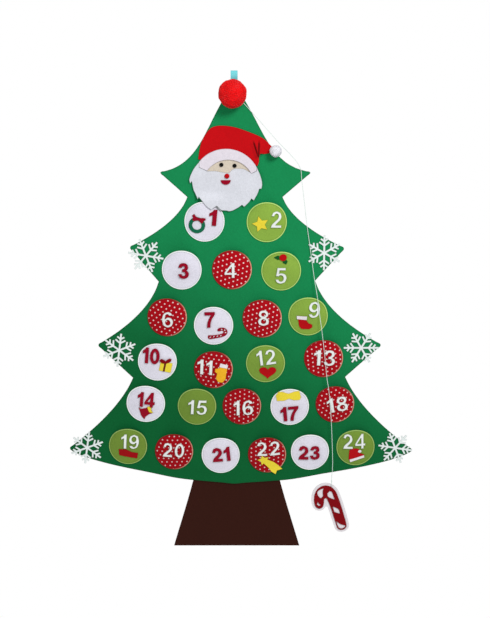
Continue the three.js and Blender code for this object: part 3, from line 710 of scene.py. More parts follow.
def moved_in(lines, distance):
    """Lines moved into the felt, or out of it for a distance below 0. A point goes no
    farther than the middle between its own side and the next one, and less far where its
    line would cross itself.
    """
    whole = np.concatenate(lines)
    inward = np.concatenate([left_of(line) for line in lines]) * np.sign(distance)
    apart = whole[None] - whole[:, None]
    ahead = np.maximum(np.einsum("ijk,ik->ij", apart, inward), 1e-9)
    room = (apart**2).sum(2) / (2 * ahead)
    np.fill_diagonal(room, np.inf)
    reach = np.minimum(abs(distance), 0.9 * room.min(1))
    ends = np.cumsum([len(line) for line in lines])[:-1]
    for _ in range(TRIES):
        moved = np.split(whole + inward * reach[:, None], ends)
        crossed = np.concatenate([crossings(line) for line in moved])
        if not crossed.any():
            break
        reach[crossed] *= 0.7
    return moved


def new_mesh(name, points, faces, finish):
    mesh = bpy.data.meshes.new(name)
    mesh.from_pydata(points, [], faces)
    mesh.materials.append(finish)
    return mesh


BUMP_SCALE = 70


def spread_points(lines, rim, spacing):
    """Points in even rows inside the felt, clear of its edge."""
    flat = np.concatenate(rim)
    low, high = flat.min(0), flat.max(0)
    rows = np.mgrid[low[0] : high[0] : spacing, low[1] : high[1] : spacing].reshape(2, -1).T
    rows[:, 0] += spacing / 2 * (np.round((rows[:, 1] - low[1]) / spacing) % 2)
    return rows[inside(rows, [line + left_of(line) * 0.4 * spacing for line in lines])]


def filled(rim, rows):
    """Fills the felt inside its rim with triangles. Returns their points, the triangles, the
    sides of the rim, and for each point of the rim the point that it became.
    """
    edges, start = [], 0
    for count in map(len, rim):
        edges += [(start + i, start + (i + 1) % count) for i in range(count)]
        start += count
    points = [Vector(point) for point in np.concatenate([*rim, rows])]
    made, _, faces, origins = delaunay_2d_cdt(points, edges, [], 0, 1e-9)[:4]
    made, faces = np.array(made), np.array(faces)
    a, b, c = (made[faces[:, k]] for k in range(3))
    faces = faces[inside((a + b + c) / 3, rim) & (np.abs(cross(b - a, c - a)) > 1e-12)]
    place = {given: i for i, origin in enumerate(origins) for given in origin}
    return made, faces.tolist(), edges, [place[i] for i in range(start)]


def cut_felt(lines, thickness, finish, spacing=6 * MM, edge=0.5 * MM, relief=0.1 * MM):
    """A felt with its back at y = 0, cut along these lines, its faces a little uneven."""
    inner = moved_in(lines, RIM[0][0] * edge)
    pairs = list(zip(lines, inner))
    rims = [[line + (far - line) * inset / RIM[0][0] for line, far in pairs] for inset, _, _ in RIM]
    made, faces, edges, border = filled(rims[0], spread_points(lines, rims[0], spacing))
    bumps = [relief * wobble.noise(Vector((x * BUMP_SCALE, 3, z * BUMP_SCALE))) for x, z in made]
    caps = len(made)
    solid = [(x, -bump, z) for (x, z), bump in zip(made, bumps)]
    solid += [(x, -thickness - bump, z) for (x, z), bump in zip(made, bumps)]
    rings = [border]
    # for each point, how much painted shade of the cut edge its colour gets: none inside, most at the edge
    edge_shade_share = [0.0] * len(solid)
    for (inset, share, round_off), rim in zip(RIM[1:-1], rims[1:-1]):
        rings.append(list(range(len(solid), len(solid) + len(border))))
        y = -(share * thickness + round_off * edge)
        edge_shade_share += [1 - inset / 2] * len(border)
        solid += [(x, y - bumps[i], z) for i, (x, z) in zip(border, np.concatenate(rim))]
    rings.append([caps + i for i in border])
    pairs = zip(rings, rings[1:])
    quads = [(back[i], back[j], front[j], front[i]) for back, front in pairs for i, j in edges]
    backs = [tuple(face[::-1]) for face in faces]
    fronts = [tuple(i + caps for i in face) for face in faces]
    mesh = new_mesh("felt", solid, backs + fronts + quads, finish)
    mesh.attributes.new("rim", "FLOAT", "POINT").data.foreach_set("value", edge_shade_share)
    mesh.shade_smooth()
    return mesh


def places_of(mesh):
    places = np.empty(len(mesh.vertices) * 3)
    mesh.vertices.foreach_get("co", places)
    return places.reshape(-1, 3)


def put_places(mesh, places):
    mesh.vertices.foreach_set("co", places.ravel())
    mesh.update()
    return mesh


def shift(mesh, x=0.0, y=0.0, z=0.0):
    return put_places(mesh, places_of(mesh) + (x, y, z))


def area_of(lines):
    """The area of felt between these lines. A hole runs the other way round and is taken off."""
    return sum(0.5 * float(cross(line, np.roll(line, -1, 0)).sum()) for line in lines)


tree_low, tree_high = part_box("tree_panel")
tree_mesh = cut_felt(tree_lines, tree_high.y - tree_low.y, felts["tree"], spacing=9 * MM, edge=1.4 * MM)
shift(tree_mesh, y=tree_high.y)
tree_piece = place_piece("felt_tree", tree_mesh, "tree_panel", slot="tree_felt")
print("tree faces:", len(tree_mesh.polygons), "area:", round(area_of(tree_lines), 4), "m2")

# %% [markdown]
# The trunk and the six snowflakes are cut in the same way. Each flat solid gives its own
# outline, place and thickness, so one helper dresses any of them.


# %% The trunk and the snowflakes
def felt_for(name, node, finish, slot, body="calendar", step=1 * MM, **cut):
    """Dresses a flat solid in felt, and returns the piece and the lines it was cut along."""
    low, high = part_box(node)
    lines = [cut_line(outline, step) for outline in outlines_of(node)]
    mesh = cut_felt(lines, high.y - low.y, finish, **cut)
    shift(mesh, y=high.y)
    return place_piece(name, mesh, node, body=body, slot=slot), lines


trunk_piece, trunk_lines = felt_for("felt_trunk", "trunk", felts["trunk"], "trunk_felt", step=2 * MM)
for row in ("upper", "middle", "lower"):
    for side in ("left", "right"):
        node = f"snowflake_{row}_{side}"
        piece, _ = felt_for(f"felt_{node}", node, felts["snow"], "white_felt", edge=0.35 * MM)

# %% [markdown]
# ## The pockets
#
# Each pocket is a felt disc sewn down round its lower part and open at the top. All
# twenty-four have one shape, and that shape follows a rule, so Geometry Nodes make it.
# A grid is rolled up: its rows become rings, from the middle of the front out to the rim
# and back to the middle of the back, and its columns become spokes. Rings lie closer
# together towards the rim, where the stitches pull a groove into the felt.

# %% The rule of a pocket's disc
POCKET_RADIUS = 38.6 * MM
POCKET_THICKNESS = 2 * MM
STITCH_RADIUS = 36 * MM
GROOVE_HALF_WIDTH = 1.6 * MM
TALLER = 1.03
FRONT_RINGS, EDGE_RINGS = 0.4, 0.2
CROWDING = 1.8


def taller(height):
    """The discs are cut a little taller than wide, and the lowest point stays where it is."""
    return (height + POCKET_RADIUS) * TALLER - POCKET_RADIUS


def disc_tree():
    """Makes a round felt with a stitched groove, its back on y = 0."""
    lengths = {"Radius": POCKET_RADIUS, "Thickness": POCKET_THICKNESS, "Stitches": STITCH_RADIUS}
    tree, _, size = geometry_tree("felt disc", **lengths, Groove=0.4 * MM, Raggedness=0.01, Cut=0.0)
    sizes = {"Size X": 1.0, "Size Y": 1.0, "Vertices X": 41, "Vertices Y": 97}
    grid = geometry(tree, "MeshGrid", sizes)
    across, around, _ = split(tree, geometry(tree, "InputPosition"))
    ring = across + 0.5
    angle = (around + 0.5) * math.tau
    out = 1 - (1 - between(ring / FRONT_RINGS, 0.0, 1.0)) ** CROWDING
    edge = between((ring - FRONT_RINGS) / EDGE_RINGS, 0.0, 1.0) * math.pi
    home = between((ring - (FRONT_RINGS + EDGE_RINGS)) / FRONT_RINGS, 0.0, 1.0) ** CROWDING
    half = size["Thickness"] / 2
    level = half * edge.do("COSINE")
    radius = (size["Radius"] - half) * (out - home) + half * edge.do("SINE")
    cosine, sine = angle.do("COSINE"), angle.do("SINE")
    scissors = noise(tree, joined(tree, cosine, sine, size["Cut"]), 1.6, 2)
    radius = radius * (1 + size["Raggedness"] * (scissors - 0.5))
    near = between(1 - (radius - size["Stitches"]).do("ABSOLUTE") / GROOVE_HALF_WIDTH, 0.0, 1.0)
    dip = size["Groove"] * smooth(near) * between(level / half, 0.0, 1.0)
    place = joined(tree, radius * cosine, dip - half - level, taller(radius * sine))
    inputs = {"Geometry": placed(tree, grid, place), "Distance": 0.01 * MM}
    closed = geometry(tree, "MergeByDistance", inputs)
    return end_tree(tree, softened(tree, closed), size["Finish"])


disc = disc_tree()
print("disc tree:", len(disc.nodes), "nodes")

# %% [markdown]
# A sewn pocket isn't flat. The mouth stands open by a few millimetres, and the felt comes
# down to the tree along the seam. Whatever is glued on a pocket follows the same curve,
# so the curve is a tree of its own, which lays any flat mesh on a pocket.


# %% The rule of a pocket's curve
def lay_on_pocket_tree():
    """Moves a flat mesh off the tree as far as the pocket's felt stands off there."""
    tree, flat, size = geometry_tree(
        "lay on pocket", Radius=POCKET_RADIUS, Seam=37.1 * MM, Mouth=0.5, Bulge=8.5 * MM
    )
    x, _, z = split(tree, geometry(tree, "InputPosition"))
    seam = size["Seam"] / size["Radius"]
    aside = x.do("ABSOLUTE") / size["Radius"]
    up = z / size["Radius"]
    level = between(up, 0 - seam, size["Mouth"])
    chord = (seam * seam - level * level).do("SQRT")
    across = (1 - (aside / chord) * (aside / chord)).do("MAXIMUM", 0.0)
    open_share = smooth(between((up + seam) / (size["Mouth"] + seam), 0.0, 1.0))
    offset = joined(tree, 0.0, 0 - size["Bulge"] * across * open_share, 0.0)
    return end_tree(tree, placed(tree, flat, offset, by="Offset"), size["Finish"])


lay_on_pocket = lay_on_pocket_tree()
print("laying tree:", len(lay_on_pocket.nodes), "nodes")

# %% [markdown]
# ## The felt of the pockets
#
# The pockets are white, light green, or red with white dots. The dots are printed, in
# rows that are shifted by half a step, and each disc was cut from the printed sheet at its
# own angle. So a disc has two UV maps in metres. One starts at the disc's centre and gives
# a painted highlight along the cut edge at the rim, and painted shade in the groove of the
# stitches. The other one is turned and shifted with the printed sheet, and gives the dots.


# %% The pocket felts
DOT_STEP = 8.9 * MM
DOT_ROW = 9.15 * MM
DOT_RADIUS, DOT_BLUR = 1.45 * MM, 0.35 * MM
DOT_PAINT, DOT_STRENGTH = (250, 228, 224), 0.94
# the painted highlight along a pocket's cut edge: its width, its soft inner edge and its strength
HIGHLIGHT_WIDTH, HIGHLIGHT_BLUR = 2.2 * MM, 0.7 * MM
HIGHLIGHT_STRENGTH = 0.95
# painted shade in the groove of the stitches: how dark, and how wide
GROOVE_SHADE, GROOVE_WIDTH = 0.2, 1.1 * MM


def dots(tree, across, up):
    """1 on a dot and 0 between dots, with a slightly soft printed edge."""
    share = None
    for row in range(2):
        x = (across + row * DOT_STEP / 2).do("PINGPONG", DOT_STEP / 2)
        z = (up + row * DOT_ROW).do("PINGPONG", DOT_ROW)
        reach = (x * x + z * z).do("SQRT")
        dot = between((DOT_RADIUS - reach) / DOT_BLUR + 0.5, 0.0, 1.0)
        share = dot if share is None else share.do("MAXIMUM", dot)
    return share


def pocket_felt(name, colour, highlight_left, highlight_right, painted_foot_shade=0.0, dotted=False):
    """Felt for pockets, with a painted highlight along its cut edge, paler on the right, and painted shade
    towards the foot.
    """
    material, tree, shader, place = new_finish(name)
    across, up, _ = split(tree, add(tree, "ShaderNodeUVMap", uv_map="UVMap").outputs[0])
    paint = linear(*colour)
    if dotted:
        dot_across, dot_up, _ = split(tree, add(tree, "ShaderNodeUVMap", uv_map="print").outputs[0])
        share = dots(tree, dot_across, dot_up) * DOT_STRENGTH
        paint = mixed(tree, share, paint, linear(*DOT_PAINT))
    reach = (across * across + up * up).do("SQRT")
    # painted highlight: a pale band along the cut edge, paler on the right, where the lamp is
    rim = smooth(between((reach - POCKET_RADIUS + HIGHLIGHT_WIDTH) / HIGHLIGHT_BLUR, 0.0, 1.0))
    to_right = smooth(between((across - 0.3 * up) / POCKET_RADIUS, 0.0, 1.0))
    painted_highlight = mixed(tree, to_right, linear(*highlight_left), linear(*highlight_right))
    paint = mixed(tree, rim * HIGHLIGHT_STRENGTH, paint, painted_highlight)
    # painted shade in the groove of the stitches, and painted shade towards the foot of the tree
    groove = smooth(between(1 - (reach - STITCH_RADIUS).do("ABSOLUTE") / GROOVE_WIDTH, 0.0, 1.0))
    value = (1 - GROOVE_SHADE * groove) * (1 - painted_foot_shade * (1 - freshness(tree, place)))
    make_matted(tree, shader, place, shaded(tree, paint, value))
    return material


# for each colour: the felt, then the painted highlight of its cut edge on the left and on the right
WHITES = (229, 227, 239), (250, 255, 253), (246, 255, 250)
GREENS = (143, 179, 71), (188, 226, 124), (196, 228, 128)
REDS = (180, 2, 20), (160, 26, 28), (236, 164, 140)
pocket_felts = {
    "white": pocket_felt("white pocket felt", *WHITES),
    "green": pocket_felt("green pocket felt", *GREENS, painted_foot_shade=0.38),
    "red": pocket_felt("dotted red felt", *REDS, painted_foot_shade=0.22, dotted=True),
}
print("pocket felts:", len(pocket_felts))

# %% The places and colours of the pockets
def centre_of(node):
    """The middle of a solid, x and z in millimetres, to the nearest half."""
    low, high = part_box(node)
    return [round((a + b) / MM) / 2 for a, b in ((low.x, high.x), (low.z, high.z))]


POCKETS = {number: centre_of(f"pocket_{number:02d}") for number in range(1, 25)}
WHITE_POCKETS = (1, 3, 7, 10, 14, 17, 21, 23)
GREEN_POCKETS = (2, 5, 9, 12, 15, 19, 24)
DOT_SHEETS = {
    4: (20, -3.8, -5.4), 6: (43, -4.3, 2.7), 8: (20, -4.4, -5.3), 11: (54, 0.9, 7),
    13: (96, -3.9, 3.5), 16: (88, -4.8, -3.7), 18: (142, 1.4, -4.1), 20: (65, -3.4, 2.1),
    22: (89, -4.4, -0.5),
}


def colour_of(number):
    if number in WHITE_POCKETS:
        return "white"
    return "green" if number in GREEN_POCKETS else "red"


def on_pocket(number, mesh, finish, off=0.0):
    """Lays a flat mesh, drawn round a pocket's centre, on that pocket at a distance off the tree."""
    x, z = POCKETS[number]
    return shift(grown(lay_on_pocket, finish, mesh), x * MM, TREE_FRONT - off, z * MM)


def put_map(mesh, name, table):
    """Gives a mesh a UV map from a pair of numbers for every point."""
    corners = np.empty(len(mesh.loops), int)
    mesh.loops.foreach_get("vertex_index", corners)
    mesh.uv_layers.new(name=name).data.foreach_set("uv", table[corners].ravel())


def map_flat(mesh, name, centre, turn=0, start=(0, 0)):
    """Gives a disc a UV map in metres from a start near its centre, turned by so many degrees."""
    flat = places_of(mesh)[:, (0, 2)] - centre
    flat[:, 1] = (flat[:, 1] + POCKET_RADIUS) / TALLER - POCKET_RADIUS
    flat -= np.array(start) * MM
    cosine, sine = math.cos(math.radians(turn)), math.sin(math.radians(turn))
    put_map(mesh, name, flat @ np.array([[cosine, -sine], [sine, cosine]]))


POCKET_OFF = 0.3 * MM
pocket_pieces = {}
for number, (x, z) in POCKETS.items():
    colour = colour_of(number)
    finish, centre = pocket_felts[colour], (x * MM, z * MM)
    pocket_mesh = on_pocket(number, grown(disc, finish, Cut=1.7 * number), finish, POCKET_OFF)
    map_flat(pocket_mesh, "UVMap", centre)
    if number in DOT_SHEETS:
        turn, *start = DOT_SHEETS[number]
        map_flat(pocket_mesh, "print", centre, turn, start)
    node = f"pocket_{number:02d}"
    pocket_pieces[number] = place_piece(f"felt_{node}", pocket_mesh, node, slot=f"{colour}_felt")
print("pockets:", len(pocket_pieces), "faces each:", len(pocket_mesh.polygons))

# %% [markdown]
# ## The stitches
#
# A running stitch in thread of the pocket's colour goes round every pocket. One stitch is
# a small bead of thread that dives into the felt at both ends. The tree sets it round a
# circle again and again, turned along the circle, and then round every pocket centre of
# that colour. Each bead is sunk into the groove, so only its top shows.


# %% A tree that sews round pockets
def facing(tree, way, axis):
    """The rotation that turns an axis to face this way."""
    return add(tree, "FunctionNodeAlignRotationToVector", {"Vector": way}, axis=axis).outputs[0]


def stitching_tree():
    tree, _, size = geometry_tree(
        "stitching", Radius=STITCH_RADIUS, Stitches=68, Length=2.3 * MM, Thickness=0.7 * MM
    )
    bead = geometry(tree, "MeshUVSphere", {"Segments": 6, "Rings": 4, "Radius": 0.5})
    scale = joined(tree, size["Length"], size["Thickness"], size["Thickness"])
    bead = softened(tree, geometry(tree, "Transform", {"Geometry": bead, "Scale": scale}))
    inputs = {"Vertices": size["Stitches"], "Radius": size["Radius"]}
    circle = geometry(tree, "MeshCircle", inputs)
    x, z, _ = split(tree, geometry(tree, "InputPosition"))
    stood = placed(tree, circle, joined(tree, x, 0.0, taller(z)))
    inputs = {"Points": stood, "Instance": bead}
    inputs["Rotation"] = facing(tree, joined(tree, 0 - z, 0.0, x), "X")
    return end_tree(tree, geometry(tree, "InstanceOnPoints", inputs), size["Finish"])


stitching = stitching_tree()
STITCH_OFF = POCKET_OFF + POCKET_THICKNESS - 0.3 * MM
for colour in pocket_felts:
    rounds = bmesh.new()
    for number in (n for n in POCKETS if colour_of(n) == colour):
        ring = grown(stitching, threads[colour])
        rounds.from_mesh(on_pocket(number, ring, threads[colour], STITCH_OFF))
    sewn_mesh = bpy.data.meshes.new(f"{colour} stitches")
    rounds.to_mesh(sewn_mesh)
    rounds.free()
    sewn_mesh.materials.append(threads[colour])
    sewn_mesh.shade_smooth()
    place_piece(f"stitches_{colour}", sewn_mesh)
print("stitches are sewn")

# %% [markdown]
# ## The numbers
#
# The numbers are stamped out of felt in a plain heavy letter form and glued on: red on the
# white pockets, white on the others. Blender's own font has a bar for its 1, so the ten
# digits are drawn here, each in a box one unit high. Gentle turns become curves
# and sharp turns stay corners, as for every other felt.


# %% Draw the ten digits
def oval(x, z, half_width, half_height, count=20):
    turns = [math.tau * i / count for i in range(count)]
    return [(x + half_width * math.cos(t), z + half_height * math.sin(t)) for t in turns]


SIX = [
    (0.6, 0.77), (0.52, 0.93), (0.33, 1), (0.1, 0.87), (0, 0.5), (0.08, 0.12), (0.32, 0),
    (0.55, 0.1), (0.63, 0.34), (0.56, 0.56), (0.38, 0.66), (0.26, 0.63), (0.185, 0.55),
    (0.21, 0.74), (0.27, 0.83), (0.34, 0.85), (0.415, 0.75),
]
SIX_EYE = oval(0.325, 0.32, 0.12, 0.165)
DIGITS = {
    0: [oval(0.31, 0.5, 0.31, 0.5), oval(0.31, 0.5, 0.12, 0.32)],
    1: [[(0.24, 0), (0.44, 0), (0.44, 1), (0.28, 1), (0.2, 0.87), (0.07, 0.77), (0.07, 0.6),
         (0.16, 0.64), (0.24, 0.7)]],
    2: [[(0, 0), (0.62, 0), (0.62, 0.18), (0.29, 0.18), (0.42, 0.33), (0.56, 0.5), (0.61, 0.68),
         (0.54, 0.9), (0.31, 1), (0.1, 0.92), (0.02, 0.7), (0.2, 0.68), (0.24, 0.8), (0.31, 0.84),
         (0.39, 0.8), (0.415, 0.69), (0.37, 0.55), (0.22, 0.39), (0.06, 0.2)]],
    3: [[(0, 0.27), (0.08, 0.07), (0.3, 0), (0.53, 0.08), (0.62, 0.28), (0.57, 0.44), (0.46, 0.52),
         (0.55, 0.61), (0.585, 0.74), (0.5, 0.93), (0.3, 1), (0.1, 0.93), (0.02, 0.74), (0.2, 0.71),
         (0.24, 0.81), (0.31, 0.84), (0.385, 0.8), (0.4, 0.72), (0.36, 0.63), (0.24, 0.595),
         (0.24, 0.445), (0.35, 0.43), (0.42, 0.37), (0.43, 0.28), (0.39, 0.19), (0.3, 0.155),
         (0.22, 0.19), (0.185, 0.29)]],
    4: [[(0.37, 0), (0.55, 0), (0.55, 0.2), (0.655, 0.2), (0.655, 0.36), (0.55, 0.36), (0.55, 1),
         (0.39, 1), (0, 0.36), (0, 0.2), (0.37, 0.2)],
        [(0.37, 0.36), (0.37, 0.72), (0.15, 0.36)]],
    5: [[(0.1, 1), (0.57, 1), (0.57, 0.82), (0.245, 0.82), (0.22, 0.655), (0.36, 0.67), (0.53, 0.6),
         (0.62, 0.42), (0.61, 0.28), (0.53, 0.08), (0.3, 0), (0.08, 0.08), (0, 0.27), (0.185, 0.29),
         (0.22, 0.19), (0.3, 0.155), (0.39, 0.2), (0.43, 0.34), (0.39, 0.48), (0.3, 0.52),
         (0.23, 0.5), (0.17, 0.45), (0.02, 0.47)]],
    6: [SIX, SIX_EYE],
    7: [[(0, 1), (0.62, 1), (0.62, 0.86), (0.42, 0.56), (0.31, 0.25), (0.28, 0), (0.09, 0),
         (0.13, 0.27), (0.24, 0.56), (0.4, 0.82), (0, 0.82)]],
    8: [[(0.31, 0), (0.55, 0.08), (0.62, 0.28), (0.57, 0.44), (0.46, 0.53), (0.55, 0.62),
         (0.585, 0.75), (0.51, 0.93), (0.31, 1), (0.11, 0.93), (0.035, 0.75), (0.07, 0.62),
         (0.16, 0.53), (0.05, 0.44), (0, 0.28), (0.07, 0.08)],
        oval(0.31, 0.29, 0.12, 0.135), oval(0.31, 0.735, 0.105, 0.105)],
    9: [[(0.63 - x, 1 - z) for x, z in line] for line in (SIX, SIX_EYE)],
}
print("digits:", len(DIGITS))

# %% [markdown]
# The photograph gives each number's middle, width and height on its pocket, and how far it
# is glued askew, in degrees anticlockwise. The digits of a number share its width, with a
# narrow gap between them. The white numbers are cut slimmer than they are drawn, and the
# red ones a little bolder.

# %% Cut the numbers and glue them on
NUMBERS = {
    1: (16.6, 9.7, 14.7, 31.3, -6), 2: (18.2, 7, 20, 32.1, -2), 3: (3.7, 0.5, 20.5, 32.3, 0),
    4: (-2.6, 1.2, 22.9, 30.3, 0), 5: (-0.3, -7.3, 21, 32.4, 0), 6: (1, -2.5, 21.1, 32.6, 0),
    7: (-6.5, 14.7, 20.1, 32, 4), 8: (2.5, 3.6, 21, 32, 0), 9: (11.8, 16.1, 22.1, 32.7, -6),
    10: (-11.5, 15.4, 33.8, 33, -5), 11: (-16.8, 7.5, 30, 31.3, -3), 12: (0.8, 16, 37, 31, 7),
    13: (1.6, 4, 42, 33, -2), 14: (1.8, 11.5, 34.5, 32, -6), 15: (1.4, 1.1, 37.5, 31.5, -4),
    16: (3, -0.6, 39, 33, 0), 17: (-0.1, -12.8, 36.5, 32, 5), 18: (4.3, 2.1, 41, 32, 9),
    19: (5.1, 13.6, 35.5, 31, -4), 20: (-0.5, 6, 42.7, 31, -4), 21: (1, 4.7, 36.2, 31.5, 5),
    22: (2.2, 17, 46, 30, 3), 23: (-1.8, 1.2, 43, 31, 0), 24: (-3.7, 16.6, 44, 31.5, 2),
}
DIGIT_GAP = 0.12
SLIMMER_WHITE = 0.75 * MM
SLIMMER_RED = -0.3 * MM
NUMBER_OFF = POCKET_OFF + POCKET_THICKNESS - 0.1 * MM
NUMBER_THICKNESS = 2.8 * MM


def tidy(line, hole):
    """A closed line with the felt on its left: an outer line runs anticlockwise, a hole clockwise."""
    line = np.array(line)
    return line[::-1] if (area_of([line]) > 0) == hole else line


def digit_lines(digit):
    return [tidy(line, hole=i > 0) for i, line in enumerate(DIGITS[digit])]


def turned(points, centre, degrees):
    """Points turned anticlockwise round a centre."""
    cosine, sine = math.cos(math.radians(degrees)), math.sin(math.radians(degrees))
    return (points - centre) @ np.array([[cosine, sine], [-sine, cosine]]) + centre


number_pieces = {}
for number, (x, z, width, height, askew) in NUMBERS.items():
    shapes = [digit_lines(int(character)) for character in str(number)]
    spans = [(lines[0][:, 0].min(), lines[0][:, 0].max()) for lines in shapes]
    total = sum(high - low for low, high in spans) + DIGIT_GAP * (len(shapes) - 1)
    centre = np.array([x, z]) * MM
    colour, slimmer = ("red", SLIMMER_RED) if number in WHITE_POCKETS else ("white", SLIMMER_WHITE)
    finish = felts[f"number_{colour}"]
    size = np.array([width, height]) * MM + 2 * slimmer
    left = 0.0
    number_pieces[number] = []
    for place, (lines, (low, high)) in enumerate(zip(shapes, spans)):
        cut = []
        for line in lines:
            moved = (line - (low - left, 0)) * size / (total, 1) + centre - size / 2
            cut.append(cut_line(turned(moved, centre, askew), step=0.8 * MM, sharp=48, wander=0.08 * MM))
        cut = moved_in(cut, slimmer)
        left += high - low + DIGIT_GAP
        digit_mesh = cut_felt(cut, NUMBER_THICKNESS, finish, 3 * MM, 0.45 * MM, 0.05 * MM)
        digit_mesh = on_pocket(number, digit_mesh, finish, NUMBER_OFF)
        name = f"number_{number:02d}_{'ab'[place]}"
        number_pieces[number].append(place_piece(name, digit_mesh, slot=f"{colour}_felt"))
print("digits cut:", sum(len(pieces) for pieces in number_pieces.values()))

# %% [markdown]
# ## The figures
#
# Thirteen pockets carry a small traditional figure. Some are one felt, and others are two
# or three felts glued in layers, such as a white cuff on a red stocking. Eight figures take
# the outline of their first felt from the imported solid. The others, and the parts of
# another colour, are drawn here, in millimetres from the pocket's centre.


# %% Glue felts on a pocket
FIGURE_OFF = NUMBER_OFF
FIGURE_THICKNESS = 1.5 * MM
LAYER_THICKNESS = 0.9 * MM
figure_pieces = {}


def glue(name, number, lines, colour, off, thickness, *nodes):
    """Cuts a felt round a pocket's centre and lays it on that pocket."""
    finish = felts[colour]
    cut = [cut_line(line, step=0.8 * MM, wander=0.15 * MM) for line in lines]
    mesh = cut_felt(cut, thickness, finish, 3 * MM, 0.35 * MM, 0.1 * MM)
    mesh = on_pocket(number, mesh, finish, off)
    figure_pieces.setdefault(number, []).append(place_piece(name, mesh, *nodes))


def drawn(*points, hole=False):
    """A line in metres from points in millimetres."""
    return tidy(np.array(points) * MM, hole)


def solid_lines(node, number):
    """The outlines of a figure's solid, from the centre of its pocket."""
    return [np.array(line) - np.array(POCKETS[number]) * MM for line in outlines_of(node)]


def first_felt(name, number, lines, colour, *nodes):
    glue(name, number, lines, colour, FIGURE_OFF, FIGURE_THICKNESS, *nodes)


def layer(name, number, colour, *lines, height=1):
    """Glues a felt on top of a figure."""
    off = FIGURE_OFF + FIGURE_THICKNESS + (height - 1) * LAYER_THICKNESS - 0.1 * MM
    glue(name, number, lines, colour, off, LAYER_THICKNESS)


for node, number, colour in (
    ("stocking_figure_09", 9, "red"),
    ("mitten_figure_11", 11, "orange"),
    ("heart_figure_12", 12, "red"),
    ("bell_figure_14", 14, "number_red"),
    ("bow_figure_17", 17, "yellow"),
    ("scarf_figure_19", 19, "dark_red"),
    ("comet_figure_22", 22, "yellow"),
    ("hat_figure_24", 24, "red"),
):
    first_felt(f"felt_{node}", number, solid_lines(node, number), colour, node)
star = []
for tip in range(10):
    reach, turn = (16.6, 8.2)[tip % 2], math.radians(33 + 36 * tip)
    star.append((-12 + reach * math.cos(turn), -2.2 + reach * math.sin(turn)))
first_felt("felt_star_figure_02", 2, [drawn(*star)], "yellow", "star_figure_02")
print("figures of one first felt:", len(figure_pieces))

# %% The wreath, the holly and the gift
wreath_ring = drawn(*oval(-14.5, -5.2, 15.9, 16.3, 40))
wreath_hole = drawn(*oval(-14.5, -5.2, 9, 9.2, 30), hole=True)
wreath_bow = drawn(
    (-23.4, 14.3), (-19.2, 17.5), (-16.2, 13), (-10, 9.6), (-3.3, 9.8), (2.5, 9), (2.7, 5.7), (-1.1, 3.4),
    (-3.2, -1.1), (-7.8, 0.6), (-9.8, 4.4), (-14.9, 4.3), (-20.7, 3.2), (-23.6, 6), (-21.4, 10),
)
first_felt("felt_wreath", 1, [wreath_ring, wreath_hole], "leaf", "wreath_figure_01")
layer("felt_wreath_bow", 1, "number_red", wreath_bow)
leaf = drawn((-14.5, 29.5), (-7, 33.5), (1, 31), (1, 27), (-7, 25))
low_leaf = drawn((1, 29), (8, 27), (12, 21.5), (9.5, 16), (3, 19))
first_felt("felt_holly_leaf", 5, [leaf], "holly", "holly_figure_05")
first_felt("felt_holly_leaf_low", 5, [low_leaf], "holly")
layer("felt_holly_berry", 5, "red", drawn(*oval(3.3, 29.8, 7.2, 6.8)))
gift_box = drawn((7.1, 3.9), (2.8, -16), (26, -21.8), (30.4, -1.9))
gift_bow = drawn((5.2, 8), (6.2, 3.4), (10.5, 0.6), (16.3, -0.6), (22, 0.6), (27.6, 3.6), (28.4, 8.4),
                 (25, 10), (19.6, 7.4), (16.6, 4.4), (14, 7.4), (9, 10))
first_felt("felt_gift", 10, [gift_box], "yellow", "gift_figure_10")
layer("felt_gift_ribbon", 10, "brown", drawn((14.6, 1.2), (18.2, 0.6), (14.2, -18.7), (10.6, -17.9)))
layer("felt_gift_bow", 10, "cane_red", gift_bow, height=2)
print("figures:", len(figure_pieces))

# %% The cuffs, stripes and trims
layer("felt_stocking_cuff", 9, "cane_white", drawn((-22.7, 3.5), (-22.2, -3.6), (-2.8, -5), (-2.3, 2.7)))
layer("felt_mitten_cuff", 11, "cane_white", drawn((14.2, 16.4), (29.4, 10.8), (27.6, 3.8), (12, 8.6)))
bell_gold = drawn((3.2, -3.4), (12.9, -2), (10.9, -10), (14.4, -18.2), (7, -16), (4.6, -9.6))
layer("felt_bell_gold", 14, "yellow", bell_gold)
hat_brim = drawn((-10.4, -31), (-11.6, -25.2), (17.2, -14.6), (18.4, -20))
layer("felt_small_brim", 24, "cane_white", hat_brim)
layer("felt_small_pompom", 24, "cane_white", drawn(*oval(8.2, -5.4, 3.6, 3.4, 14)))
cane_line = drawn(
    (-10.4, -18.6), (-11.4, -21.6), (-10.6, -25.2), (-7.6, -26.6), (5, -24.6), (15.1, -22.4), (22.7, -19.4),
    (26.8, -14.5), (27, -9.2), (23.5, -4.2), (17, -1.9), (10.5, -2.9), (7.4, -6.2), (8.6, -9.6),
    (12.6, -9.4), (16.5, -8.4), (19.4, -9.8), (19.2, -13), (15, -15.4), (2.2, -17.9),
)
first_felt("felt_cane_figure_07", 7, [cane_line], "number_red", "cane_figure_07")
HOOK = (17.3, -11.6)
for stripe, (x, z) in enumerate(((-6.6, -22.3), (0.4, -21.1), (7.4, -19.9), (14.2, -18.7))):
    leaning = drawn((x - 2, z - 1.5), (x + 0.3, z - 1.2), (x + 2, z + 1.5), (x - 0.3, z + 1.2))
    layer(f"felt_cane_stripe_{stripe}", 7, "cane_white", leaning)
